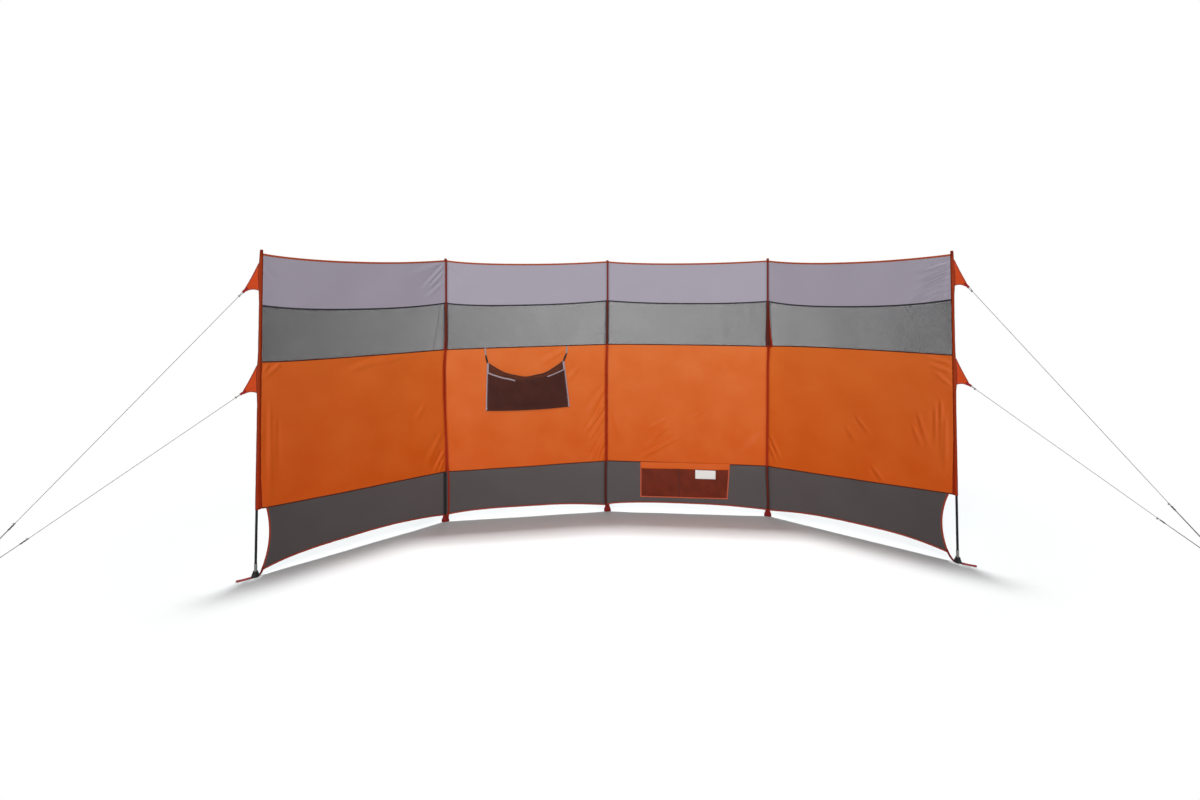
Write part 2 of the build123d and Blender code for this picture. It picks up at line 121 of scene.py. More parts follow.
def paired(first: Array, second: Array) -> Array:
    """Two arrays side by side, as places."""
    return np.stack(np.broadcast_arrays(first, second), -1)


def between(first: Array, last: Array, share: Array) -> Array:
    """What lies a share of the way from first to last."""
    return first + (last - first) * share


def bell(off: Array, width: float) -> Array:
    """A rounded hump of height one: exp(-(off / width)^2)."""
    return np.exp(-((off / width) ** 2))


def bow(share: Array) -> Array:
    """A parabola that is 0 at either end and 1 midway."""
    return 4.0 * share * (1.0 - share)


def smooth_step(low: float, high: float, value: Array) -> Array:
    """Zero below low, one above high, and 3 s squared less 2 s cubed between them."""
    share = np.clip((value - low) / (high - low), 0.0, 1.0)
    return share * share * (3.0 - 2.0 * share)


def full_turn(count: int) -> Array:
    """Angles spread evenly round a circle."""
    return np.linspace(0.0, 2.0 * np.pi, count, endpoint=False)


def circle(count: int) -> Array:
    """Points spread evenly round a circle of radius one, as rows of 2."""
    return paired(np.cos(full_turn(count)), np.sin(full_turn(count)))


def strap_section(sides: int = STRAP_SIDES) -> tuple[Array, Array]:
    """A rounded flat section: cos p to the power 0.5 across and sin p to the power 0.8 through, signed."""
    across, through = (np.sign(circle(sides)) * np.abs(circle(sides)) ** STRAP_POWERS).T
    return across, through


def run_lengths(path: Array) -> Array:
    """Distance along a path at each of its points."""
    return np.concatenate([[0.0], np.cumsum(np.linalg.norm(np.diff(path, axis=0), axis=1))])


def ring_lengths(points: Array) -> Array:
    """Distance round each ring of points, from 0 at its first point to the whole girth back at it."""
    steps = np.linalg.norm(np.diff(points, axis=1, append=points[:, :1]), axis=2)
    return np.concatenate([np.zeros((len(points), 1)), steps.cumsum(axis=1)], axis=1)


def flat_area(x: Array, z: Array) -> float:
    """Area of a grid of places laid flat: the mean width times the mean height of each cell, added up."""
    wide, tall = np.diff(x, axis=1), np.diff(z, axis=0)
    return float(((wide[1:] + wide[:-1]) * (tall[:, 1:] + tall[:, :-1])).sum() / 4)


@dataclass
class Surface:
    """A mesh as whole arrays.

    points has n rows of 3, quads and triangles hold point numbers, quad_places and triangle_places the
    texture place of each corner, and layers the share of painted shade at each point, from 0 to 1.
    """

    points: Array
    quads: Array
    quad_places: Array
    triangles: Array = field(default_factory=lambda: np.zeros((0, 3), int))
    triangle_places: Array = field(default_factory=lambda: np.zeros((0, 3, 2)))
    layers: Array | None = None

    @staticmethod
    def joined(parts: Sequence["Surface"]) -> "Surface":
        """One surface of several.

        Args:
            parts: the surfaces, with no painted shade.

        Returns:
            The surface.
        """
        starts = np.cumsum([0] + [len(part.points) for part in parts[:-1]])
        rows = [
            (part.points, part.quads + start, part.quad_places, part.triangles + start, part.triangle_places)
            for part, start in zip(parts, starts)
        ]
        return Surface(*(np.concatenate(column) for column in zip(*rows)))


# a sheet with its greatest width and height and its flat area
Cut = tuple[Surface, Pair, float]


def grid(points: Array, places: Array, form: Form = Form.SHEET, layers: Array | None = None) -> Surface:
    """Faces between the neighbours of a grid of points, with fans that close a solid's end rows.

    Args:
        points: rows by columns by 3.
        places: texture places, with a column more than points but on a sheet.
        form: how it is closed.
        layers: share of painted shade at each point.

    Returns:
        The surface.
    """
    rows, columns = points.shape[:2]
    steps = np.arange(columns - 1 if form is Form.SHEET else columns)
    row, column = np.meshgrid(np.arange(rows - 1), steps, indexing="ij")
    corner_rows = np.stack([row, row, row + 1, row + 1], -1).reshape(-1, 4)
    corner_columns = np.stack([column, column + 1, column + 1, column], -1).reshape(-1, 4)
    quads = corner_rows * columns + corner_columns % columns
    surface = Surface(points.reshape(-1, 3), quads, places[corner_rows, corner_columns])
    hubs = np.arange(2 if form is Form.SOLID else 0)
    if layers is not None:
        surface.layers = np.append(np.broadcast_to(layers, (rows, columns)), np.zeros(len(hubs)))
    if form is Form.SOLID:
        ends = np.array((0, rows - 1))
        near, after = (ends[:, None] * columns + step % columns for step in (steps, steps + 1))
        hub = np.broadcast_to(rows * columns + hubs[:, None], near.shape)
        surface.points = np.concatenate([surface.points, points[ends].mean(axis=1)])
        surface.triangles = np.stack([hub, near, after], -1).reshape(-1, 3)
        surface.triangle_places = np.repeat(places[ends][:, steps].reshape(-1, 1, 2), 3, axis=1)
    return surface


def ringed(points: Array, path: Array, around: Array, layers: Array | None = None) -> Surface:
    """A solid with a ring of points at each point of a path, placed by length and a measure around."""
    places = paired(run_lengths(path)[:, None], around)
    return grid(points, places, Form.SOLID, layers)


def tube(path: Array, radius: Array, reference: Array, sides: int = CORD_SIDES) -> Surface:
    """A round cord: a circle square to the path at each of its points.

    Args:
        path: n points.
        radius: one for all or one for each point.
        reference: a direction that the path never follows.
        sides: points round the circle.

    Returns:
        A closed surface, with places in metres along and in turns round.
    """
    ahead = unit(np.gradient(path, axis=0))
    first = unit(np.cross(ahead, reference))
    second = np.cross(ahead, first)
    cosine, sine = circle(sides).T[..., None]
    reach = np.broadcast_to(radius, len(path))[:, None, None]
    points = path[:, None] + reach * (first[:, None] * cosine + second[:, None] * sine)
    return ringed(points, path, np.arange(sides + 1) / sides)


def turned(profile: Array, outline: Array, origin: Array, axes: Sequence[Array]) -> Surface:
    """An outline round an axis, scaled and raised along a profile.

    Args:
        profile: rows of scale and height.
        outline: the plan for a scale of one, or one for each row.
        origin: where heights start from.
        axes: directions of the plan's two coordinates and the heights.

    Returns:
        A closed surface, with places in metres round and up.
    """
    first, second, axis = axes
    plan = outline * profile[:, :1, None]
    points = origin + plan[..., :1] * first + plan[..., 1:] * second + profile[:, 1, None, None] * axis
    climb = run_lengths(profile * np.array((np.abs(outline).max(), 1.0)))[:, None]
    return grid(points, paired(ring_lengths(points), climb), Form.SOLID)


@dataclass(frozen=True)
class Plane:
    """An upright plane that flat pieces are laid out in."""

    origin: Array
    across: Array
    front: Array
    rise: Array = field(default_factory=lambda: UP)

    def place(self, x: Array, z: Array, lift: Array) -> Array:
        """Points at x along the plane, z up it and lift in front of it, as rows of 3."""
        x, z, lift = (np.asarray(part)[..., None] for part in np.broadcast_arrays(x, z, lift))
        return self.origin + x * self.across + z * self.rise + lift * self.front

    def sheet(self, x: Array, z: Array, lift: Array, layers: Array | None = None) -> Surface:
        """An open sheet over a grid of places, lifted off the plane."""
        return grid(self.place(x, z, lift), paired(x, z), layers=layers)


def level_ground(x: Array, z: Array) -> Array:
    """A relief with no folds."""
    return np.zeros(np.broadcast(x, z).shape)


def band(
    plane: Plane,
    path: Array,
    reach: Array,
    thickness: float,
    relief: Relief = level_ground,
    left_reach: Array | None = None,
    sides: int = STRAP_SIDES,
    layers: Array | None = None,
) -> Surface:
    """A tape on a plane: the strap's section carried along a path, riding on the relief.

    Args:
        plane: where the path is drawn.
        path: n places of x and z.
        reach: half its width, for all or for each place.
        thickness: through the tape.
        relief: height of what it is sewn on.
        left_reach: its reach to the left of the path where that differs.
        sides: points round the section.
        layers: share of painted shade at each point.

    Returns:
        A closed surface, with places in metres along and from -1 to 1 across.
    """
    across, through = strap_section(sides)
    ahead = unit(np.gradient(path, axis=0))
    reaches = (reach, reach if left_reach is None else left_reach)
    right, left = (np.broadcast_to(side, len(path))[:, None] for side in reaches)
    wide = np.where(across > 0, right, left) * across
    x = path[:, :1] + wide * ahead[:, 1:]
    z = path[:, 1:] - wide * ahead[:, :1]
    points = plane.place(x, z, relief(x, z) + through * thickness / 2)
    return ringed(points, path, np.append(across, across[0]), layers)


# Finishes

# a wave texture repeats once in this many metres over its scale
WAVE = math.pi / 10
NOISE_LOW, NOISE_HIGH, NOISE_DETAIL = 0.3, 0.7, 4.0
# numbers of a Mix node's two inputs for values and of those for colours, and what makes it mix colours
VALUE_A, VALUE_B, COLOUR_A, COLOUR_B = 2, 3, 6, 7
COLOURS = {"out": 2, "data_type": "RGBA"}
WHITE = (1.0, 1.0, 1.0, 1.0)


def linear(hex_colour: str) -> tuple[float, float, float, float]:
    """Linear colour of an sRGB hex value.

    Args:
        hex_colour: as #RRGGBB.

    Returns:
        Red, green, blue and an alpha of one.
    """
    parts = (int(hex_colour[k : k + 2], 16) / 255 for k in (1, 3, 5))
    levels = (part / 12.92 if part <= 0.04045 else ((part + 0.055) / 1.055) ** 2.4 for part in parts)
    return (*levels, 1.0)


def join(tree: Tree, node: bpy.types.Node, inputs: Inputs) -> None:
    """Set inputs of a node, or link outputs to them.

    Args:
        tree: the node's own tree.
        node: the node.
        inputs: a value or an output for each input, by name or number.
    """
    for name, value in inputs.items():
        if isinstance(value, Socket):
            tree.links.new(value, node.inputs[name])
        else:
            node.inputs[name].default_value = value


def add(
    tree: Tree,
    kind: str,
    inputs: Inputs | None = None,
    out: int | str = 0,
    **settings: object,
) -> Socket:
    """Add a shader node with its settings and links.

    Args:
        tree: what it joins.
        kind: its type without the ShaderNode start.
        inputs: as for join.
        out: the output that is wanted, by name or number.
        **settings: the node's own properties.

    Returns:
        That output.
    """
    node = tree.nodes.new("ShaderNode" + kind)
    for name, value in settings.items():
        setattr(node, name, value)
    join(tree, node, inputs or {})
    return node.outputs[out]


def mottle(tree: Tree, places: Socket, size: float, low: float = 0.0, high: float = 1.0) -> Socket:
    """Soft uneven patches: noise whose middle range is spread between two levels.

    Args:
        tree: what it joins.
        places: where it is read.
        size: of a patch, in metres.
        low: level of the lowest patches.
        high: level of the highest.

    Returns:
        The level at each place.
    """
    noise = add(tree, "TexNoise", {"Vector": places, "Scale": 1.0 / size, "Detail": NOISE_DETAIL}, "Fac")
    ends = {"From Min": NOISE_LOW, "From Max": NOISE_HIGH, "To Min": low, "To Max": high}
    return add(tree, "MapRange", {"Value": noise} | ends)


@dataclass(frozen=True)
class Finish:
    """A material by name, with its colour, a second shade of it and its roughness."""

    name: str
    colour: str
    shade: str
    roughness: float

    @property
    def tones(self) -> Inputs:
        """The colour and the shade as the two colours of a Mix node."""
        return {COLOUR_A: linear(self.colour), COLOUR_B: linear(self.shade)}

    def material(self) -> bpy.types.Material:
        """The Blender material, made at its first use.

        Returns:
            The material.
        """
        found = bpy.data.materials.get(self.name)
        if found is None:
            found = bpy.data.materials.new(self.name)
            found.use_nodes = True
            tree = found.node_tree
            looks = {"Roughness": self.roughness} | self.looks(tree)
            join(tree, tree.nodes["Principled BSDF"], looks)
        return found

    def looks(self, tree: Tree) -> Inputs:
        """Add the finish's own nodes, and give the shader's inputs their values or links."""
        raise NotImplementedError


@dataclass(frozen=True)
class Taffeta(Finish):
    """Plain-woven coated polyester.

    To the eye: a colour painted a little darker towards the ground as shade, with slightly cloudy patches, a
    soft sheen, and a darker, redder painted shade wherever a sleeve or pole behind the thin cloth keeps the
    daylight out and towards the outer ends of the bays.
    """

    # colour of the painted shade, mixed in by the share of painted shade at each point
    shaded: str
    thread: float = 2.4 * MM  # real threads are about 0.2 mm, drawn coarse enough to show close up
    cloud: float = 160 * MM
    cloud_share: float = 0.25
    # the colour is painted darker towards the ground, as shade, between these two heights
    painted_shade_heights: Pair = (1.0, 0.3)  # heights where it starts and where it is full
    crinkle: float = 14 * MM
    crinkle_depth: float = 0.35 * MM
    crinkle_strength: float = 0.35
    weave_depth: float = 0.12 * MM
    weave_strength: float = 0.3
    gloss_range: float = 0.05
    specular: float = 0.12

    def looks(self, tree: Tree) -> Inputs:
        """Alternate squares show the warp and the weft, each a rounded ripple.

        Args:
            tree: the material's nodes.

        Returns:
            The shader's inputs.
        """
        places = add(tree, "UVMap", uv_map=PLACES)
        squares = add(tree, "TexChecker", {"Vector": places, "Scale": 1.0 / self.thread}, "Fac")
        wave = {"Vector": places, "Scale": WAVE / self.thread}
        warp, weft = (add(tree, "TexWave", wave, "Fac", bands_direction=way) for way in "XY")
        weave = add(tree, "Mix", {0: squares, VALUE_A: warp, VALUE_B: weft})
        # painted shade: the colour at the top runs to the shade near the ground, with random patches over it
        rise = add(tree, "SeparateXYZ", {0: places}, "Y")
        start, full = self.painted_shade_heights
        depth = add(tree, "MapRange", {"Value": rise, "From Min": start, "From Max": full})
        patches = mottle(tree, places, self.cloud, -self.cloud_share, self.cloud_share)
        tone_share = add(tree, "Math", {0: depth, 1: patches}, operation="ADD")
        tone = add(tree, "Mix", {0: tone_share} | self.tones, **COLOURS)
        # painted shade where a sleeve or pole lies behind the cloth, and towards the bays' outer ends
        behind = add(tree, "Attribute", None, "Fac", attribute_name=PAINTED_SHADE)
        overlaid = {0: behind, COLOUR_A: tone, COLOUR_B: linear(self.shaded)}
        crinkles = {"Height": mottle(tree, places, self.crinkle), "Distance": self.crinkle_depth}
        under = add(tree, "Bump", crinkles | {"Strength": self.crinkle_strength})
        relief = {"Height": weave, "Distance": self.weave_depth, "Strength": self.weave_strength}
        low, high = self.roughness - self.gloss_range, self.roughness + self.gloss_range
        return {
            "Base Color": add(tree, "Mix", overlaid, **COLOURS),
            "Normal": add(tree, "Bump", relief | {"Normal": under}),
            "Roughness": mottle(tree, places, self.cloud, low, high),
            "Specular IOR Level": self.specular,
        }


@dataclass(frozen=True)
class Netting(Finish):
    """Knitted polyester mesh.

    To the eye: a dark even veil that the light behind shows through, more of it square on than at a slant,
    and less of it, on threads painted darker, as painted shade where a second layer lies behind or towards a
    bay's end.
    """

    open_share: float
    pitch: float = 2.0 * MM  # real holes are about 1 mm apart, drawn coarse enough to show close up
    cloud: float = 220 * MM
    # the threads' painted shade is the shade colour at this share
    shaded_share: float = 0.4
    rim: float = 0.04
    thread_depth: float = 0.3 * MM
    thread_strength: float = 0.5
    specular: float = 0.15

    def looks(self, tree: Tree) -> Inputs:
        """Round holes where two crossed ripples are both high, smaller where shade is painted; rounded
        threads.

        Args:
            tree: the material's nodes.

        Returns:
            The shader's inputs.
        """
        places = add(tree, "UVMap", uv_map=PLACES)
        wave = {"Vector": places, "Scale": WAVE / self.pitch}
        one, other = (add(tree, "TexWave", wave, "Fac", bands_direction=way) for way in "XY")
        both = add(tree, "Math", {0: one, 1: other}, operation="ADD")
        height = add(tree, "Math", {0: both, 1: 0.5}, operation="MULTIPLY")
        level = float(np.interp(self.open_share, *self.hole_levels()))
        # where shade is painted the holes close and the threads darken
        behind = add(tree, "Attribute", None, "Fac", attribute_name=PAINTED_SHADE)
        closing = add(tree, "Math", {0: behind, 1: level - 1.0, 2: height}, operation="MULTIPLY_ADD")
        ends = {"From Min": level - self.rim, "From Max": level + self.rim, "To Min": 1.0, "To Max": 0.0}
        tone_share = mottle(tree, places, self.cloud)
        tone = add(tree, "Mix", {0: tone_share} | self.tones, **COLOURS)
        darker = (*(part * self.shaded_share for part in linear(self.shade)[:3]), 1.0)
        overlaid = {0: behind, COLOUR_A: tone, COLOUR_B: darker}
        threads = add(tree, "Math", {0: 1.0, 1: height}, operation="SUBTRACT")
        relief = {"Height": threads, "Distance": self.thread_depth, "Strength": self.thread_strength}
        return {
            "Base Color": add(tree, "Mix", overlaid, **COLOURS),
            "Alpha": add(tree, "MapRange", {"Value": closing} | ends),
            "Normal": add(tree, "Bump", relief),
            "Specular IOR Level": self.specular,
        }

    @staticmethod
    def hole_levels(count: int = 200) -> tuple[Array, Array]:
        """How much of the net lies above each level of two crossed ripples.

        Args:
            count: places along a ripple.

        Returns:
            Shares of the net, and the level that each lies above.
        """
        wave = np.cos(full_turn(count))
        heights = np.sort(((wave[:, None] + wave[None, :]) / 4 + 0.5).ravel())
        return shares(heights.size), heights[::-1]


@dataclass(frozen=True)
class StitchedTape(Finish):
    """Ribbed polyester binding sewn along both edges.

    To the eye: fine ribs across the tape with painted shade between them, two rows of thread and a dull, even
    colour.
    """

    thread_colour: str
    rib: float = 1.8 * MM  # real ribs are about 0.6 mm
    rib_depth: float = 0.15 * MM
    rib_strength: float = 0.4
    stitch: float = 6.0 * MM  # real stitches are about 3 mm
    stitch_share: float = 0.66
    stitch_depth: float = 0.3 * MM
    stitch_strength: float = 0.6
    row_share: float = 0.62
    row_half_share: float = 0.1
    specular: float = 0.2

    def looks(self, tree: Tree) -> Inputs:
        """Ribs follow the length; a stitch shows where a place is near a row and its length is in a dash.

        Args:
            tree: the material's nodes.

        Returns:
            The shader's inputs.
        """
        places = add(tree, "UVMap", uv_map=PLACES)
        axes = add(tree, "SeparateXYZ", {0: places}).node.outputs
        off = add(tree, "Math", {0: axes["Y"]}, operation="ABSOLUTE")
        row = {0: off, 1: self.row_share, 2: self.row_half_share}
        in_row = add(tree, "Math", row, operation="COMPARE")
        count = add(tree, "Math", {0: axes["X"], 1: self.stitch}, operation="DIVIDE")
        part = add(tree, "Math", {0: count}, operation="FRACT")
        dash = add(tree, "Math", {0: part, 1: self.stitch_share}, operation="LESS_THAN")
        sewn = add(tree, "Math", {0: in_row, 1: dash}, operation="MULTIPLY")
        wave = {"Vector": places, "Scale": WAVE / self.rib}
        ribs = add(tree, "TexWave", wave, "Fac", bands_direction="X")
        # painted shade: the grooves between the ribs take the darker shade
        ribbed = {0: ribs, COLOUR_A: linear(self.shade), COLOUR_B: linear(self.colour)}
        tone = add(tree, "Mix", ribbed, **COLOURS)
        overlaid = {0: sewn, COLOUR_A: tone, COLOUR_B: linear(self.thread_colour)}
        relief = {"Height": ribs, "Distance": self.rib_depth, "Strength": self.rib_strength}
        thread = {"Height": sewn, "Distance": self.stitch_depth, "Strength": self.stitch_strength}
        return {
            "Base Color": add(tree, "Mix", overlaid, **COLOURS),
            "Normal": add(tree, "Bump", thread | {"Normal": add(tree, "Bump", relief)}),
            "Specular IOR Level": self.specular,
        }


@dataclass(frozen=True)
class Webbing(Finish):
    """Woven polypropylene webbing.

    To the eye: slanting ribs that meet in chevrons down the middle, with a slight shine on each rib and
    painted shade in the grooves between them.
    """

    rib: float = 2.6 * MM
    slant: float = 4.0 * MM
    depth: float = 0.4 * MM
    strength: float = 0.6
    specular: float = 0.15

    def looks(self, tree: Tree) -> Inputs:
        """The ribs' phase is the length plus the distance from the middle, so that they slant both ways.

        Args:
            tree: the material's nodes.

        Returns:
            The shader's inputs.
        """
        axes = add(tree, "SeparateXYZ", {0: add(tree, "UVMap", uv_map=PLACES)}).node.outputs
        off = add(tree, "Math", {0: axes["Y"]}, operation="ABSOLUTE")
        phase = add(tree, "Math", {0: off, 1: self.slant, 2: axes["X"]}, operation="MULTIPLY_ADD")
        wave = {"Vector": add(tree, "CombineXYZ", {"X": phase}), "Scale": WAVE / self.rib}
        ribs = add(tree, "TexWave", wave, "Fac", bands_direction="X")
        # painted shade: the grooves between the ribs take the darker shade
        tones = {0: ribs, COLOUR_A: linear(self.shade), COLOUR_B: linear(self.colour)}
        relief = {"Height": ribs, "Distance": self.depth, "Strength": self.strength}
        return {
            "Base Color": add(tree, "Mix", tones, **COLOURS),
            "Normal": add(tree, "Bump", relief),
            "Specular IOR Level": self.specular,
        }


@dataclass(frozen=True)
class BraidedCord(Finish):
    """Braided polyester guy cord.

    To the eye: two sets of strands that cross as they wind round, with dark flecks of painted shade between
    them.
    """

    lay: float = 9.0 * MM
    strands: float = 3.0
    depth: float = 0.5 * MM
    strength: float = 0.7

    def looks(self, tree: Tree) -> Inputs:
        """Each set's phase is the length plus or minus three lays for each turn; the higher set shows.

        Args:
            tree: the material's nodes.

        Returns:
            The shader's inputs.
        """
        axes = add(tree, "SeparateXYZ", {0: add(tree, "UVMap", uv_map=PLACES)}).node.outputs
        sets = []
        for way in (self.strands * self.lay, -self.strands * self.lay):
            phase = add(tree, "Math", {0: axes["Y"], 1: way, 2: axes["X"]}, operation="MULTIPLY_ADD")
            wave = {"Vector": add(tree, "CombineXYZ", {"X": phase}), "Scale": WAVE / self.lay}
            sets.append(add(tree, "TexWave", wave, "Fac", bands_direction="X"))
        braid = add(tree, "Math", dict(enumerate(sets)), operation="MAXIMUM")
        # painted shade: the gaps between the strands take the darker shade
        tones = {0: braid, COLOUR_A: linear(self.shade), COLOUR_B: linear(self.colour)}
        relief = {"Height": braid, "Distance": self.depth, "Strength": self.strength}
        return {
            "Base Color": add(tree, "Mix", tones, **COLOURS),
            "Normal": add(tree, "Bump", relief),
        }


@dataclass(frozen=True)
class DrawnRod(Finish):
    """Pultruded fibreglass rod, or drawn and plated steel.

    To the eye: fine lines along the rod that break up its highlight, and scuffs that dull it in patches.
    """

    metallic: float
    specular: float = 0.5
    line: float = 1.2 * MM
    stretch_share: float = 0.02
    depth: float = 0.08 * MM
    strength: float = 0.3
    scuff: float = 24 * MM
    gloss_range: Pair = (-0.08, 0.12)

    def looks(self, tree: Tree) -> Inputs:
        """Noise squeezed across and drawn out upwards gives the lines; a coarser one gives the scuffs.

        Args:
            tree: the material's nodes.

        Returns:
            The shader's inputs.
        """
        places = add(tree, "TexCoord", None, "Object")
        drawn = add(tree, "Mapping", {"Vector": places, "Scale": (1.0, 1.0, self.stretch_share)})
        lines = mottle(tree, drawn, self.line)
        relief = {"Height": lines, "Distance": self.depth, "Strength": self.strength}
        low, high = (self.roughness + part for part in self.gloss_range)
        return {
            "Base Color": add(tree, "Mix", {0: lines} | self.tones, **COLOURS),
            "Normal": add(tree, "Bump", relief),
            "Roughness": mottle(tree, places, self.scuff, low, high),
            "Metallic": self.metallic,
            "Specular IOR Level": self.specular,
        }


@dataclass(frozen=True)
class MouldedPlastic(Finish):
    """Injection-moulded nylon.

    To the eye: a fine spark-eroded grain, satin gloss and rubbed patches.
    """

    grain: float = 1.5 * MM  # real grain is about 0.2 mm
    depth: float = 0.15 * MM
    strength: float = 0.4
    rubbed: float = 12 * MM
    gloss_patch: float = 9 * MM
    gloss_range: float = 0.08
    specular: float = 0.25

    def looks(self, tree: Tree) -> Inputs:
        """Fine noise gives the grain and a coarse one the rubbed patches.

        Args:
            tree: the material's nodes.

        Returns:
            The shader's inputs.
        """
        places = add(tree, "TexCoord", None, "Object")
        patches = {0: mottle(tree, places, self.rubbed)} | self.tones
        grain = mottle(tree, places, self.grain)
        relief = {"Height": grain, "Distance": self.depth, "Strength": self.strength}
        low, high = self.roughness - self.gloss_range, self.roughness + self.gloss_range
        return {
            "Base Color": add(tree, "Mix", patches, **COLOURS),
            "Normal": add(tree, "Bump", relief),
            "Roughness": mottle(tree, places, self.gloss_patch, low, high),
            "Specular IOR Level": self.specular,
        }


# each cloth's last colour is the colour of its painted shade
LAVENDER_CLOTH = Taffeta("lavender_grey_polyester_taffeta", "#A39DAA", "#A09AA7", 0.55, "#857F8B")
ORANGE_CLOTH = Taffeta("orange_polyester_taffeta", "#D76A28", "#CE5814", 0.5, "#A93A0A")
SLEEVE_CLOTH = Taffeta("doubled_orange_polyester_taffeta", "#983410", "#972806", 0.55, "#5A1408")
# the strip's dark red is partly its own colour and partly painted shade of the recess by the pole
STRIP_CLOTH = Taffeta("folded_red_polyester_taffeta", "#9A2604", "#9A2604", 0.55, "#4A1810")
TAB_CLOTH = Taffeta("burnt_orange_polyester_taffeta", "#C64A1C", "#C04216", 0.55, "#A8320A")
SATIN_PATCH = Taffeta("white_satin_patch", "#EDEBE8", "#E4E2DF", 0.4, "#E4E2DF", 1.2 * MM, 60 * MM)
WINDOW_NET = Netting("grey_polyester_mesh", "#4A484B", "#444245", 0.7, 0.335)
SKIRT_NET = Netting("dark_grey_polyester_mesh", "#5C5555", "#575050", 0.7, 0.03)
POCKET_BACK_NET = Netting("open_brown_polyester_mesh", "#4A2A24", "#43261F", 0.7, 0.35)
HANGING_NET = Netting("black_brown_polyester_mesh", "#4A241C", "#3E1D16", 0.7, 0.16, 2.0 * MM, 70 * MM)
SEWN_NET = Netting("russet_polyester_mesh", "#702815", "#602111", 0.7, 0.01, 2.0 * MM, 45 * MM)
ORANGE_BINDING = StitchedTape("orange_ribbed_binding", "#9C4222", "#8A3819", 0.6, "#B8623E")
HEM_BINDING = StitchedTape("red_orange_ribbed_binding", "#94321F", "#842A1A", 0.6, "#B25A40")
BLACK_TAPE = StitchedTape("black_ribbed_tape", "#2C2A30", "#232126", 0.6, "#4A484E")
BROWN_TAPE = StitchedTape("brown_ribbed_tape", "#44190B", "#3A1509", 0.6, "#63301C")
GREY_BINDING = StitchedTape("lilac_grey_ribbed_binding", "#A08E96", "#928188", 0.6, "#B4A8B0")
DARK_BINDING = StitchedTape("dark_brown_ribbed_binding", "#3A1C14", "#321811", 0.6, "#55342A")
RUSSET_BINDING = StitchedTape("russet_ribbed_binding", "#541C0F", "#4A180D", 0.6, "#6E3222")
POCKET_BINDING = StitchedTape("bright_orange_ribbed_binding", "#C2553A", "#B44A30", 0.6, "#D6805F")
RED_WEBBING = Webbing("red_polypropylene_webbing", "#A50E18", "#70070D", 0.5)
STRAP_WEBBING = Webbing("dark_red_polypropylene_webbing", "#861512", "#5E0C0C", 0.6)
GREY_WEBBING = Webbing("grey_polypropylene_webbing", "#A39A98", "#857C7A", 0.5)
GUY_CORD = BraidedCord("braided_polyester_cord", "#ADABA8", "#636160", 0.6)
BLACK_ROD = DrawnRod("black_pultruded_fibreglass", "#090909", "#101010", 0.4, 0.0, 0.2)
PLATED_STEEL = DrawnRod("nickel_plated_steel", "#8F8D89", "#7C7A76", 0.28, 1.0)
GALVANISED_STEEL = DrawnRod("galvanised_steel_wire", "#9C9E9F", "#828587", 0.42, 1.0)
BLACK_NYLON = MouldedPlastic("black_moulded_nylon", "#0C0C0C", "#141414", 0.5)
GREY_NYLON = MouldedPlastic("grey_moulded_nylon", "#4A4A4C", "#575759", 0.45)


# Pieces


def put(
    name: str,
    surface: Surface,
    finish: Finish,
    slot: str,
    nodes: Sequence[str] = (),
    thickness: float = 0.0,
) -> bpy.types.Object:
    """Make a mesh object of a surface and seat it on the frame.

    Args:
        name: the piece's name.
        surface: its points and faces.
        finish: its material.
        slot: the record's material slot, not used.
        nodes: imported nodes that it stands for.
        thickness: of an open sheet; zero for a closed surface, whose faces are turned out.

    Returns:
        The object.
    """
    mesh = bpy.data.meshes.new(name)
    quads, triangles = surface.quads, surface.triangles
    mesh.vertices.add(len(surface.points))
    mesh.vertices.foreach_set("co", surface.points.ravel())
    corners = np.concatenate([quads.ravel(), triangles.ravel()])
    mesh.loops.add(len(corners))
    mesh.loops.foreach_set("vertex_index", corners)
    starts = np.concatenate([np.arange(len(quads)) * 4, quads.size + np.arange(len(triangles)) * 3])
    mesh.polygons.add(len(starts))
    mesh.polygons.foreach_set("loop_start", starts)
    mesh.polygons.foreach_set("use_smooth", np.ones(len(starts), bool))
    mesh.update(calc_edges=True)
    places = np.concatenate([surface.quad_places.ravel(), surface.triangle_places.ravel()])
    mesh.uv_layers.new(name=PLACES).data.foreach_set("uv", places)
    # the share of painted shade at each point, read by the cloth and net finishes
    if surface.layers is not None:
        mesh.attributes.new(PAINTED_SHADE, "FLOAT", "POINT").data.foreach_set("value", surface.layers)
    if not thickness:
        shell = bmesh.new()
        shell.from_mesh(mesh)
        bmesh.ops.recalc_face_normals(shell, faces=shell.faces)
        shell.to_mesh(mesh)
        shell.free()
    made = bpy.data.objects.new(name, mesh)
    bpy.context.scene.collection.objects.link(made)
    mesh.materials.append(finish.material())
    if thickness:
        walls = made.modifiers.new("thickness", "SOLIDIFY")
        walls.thickness = thickness
        walls.offset = 0.0
    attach(made, "root")
    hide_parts(*nodes)
    log.info("%s: %d points", name, len(surface.points))
    return made


# Rig: where the poles stand and how the cloth hangs between them


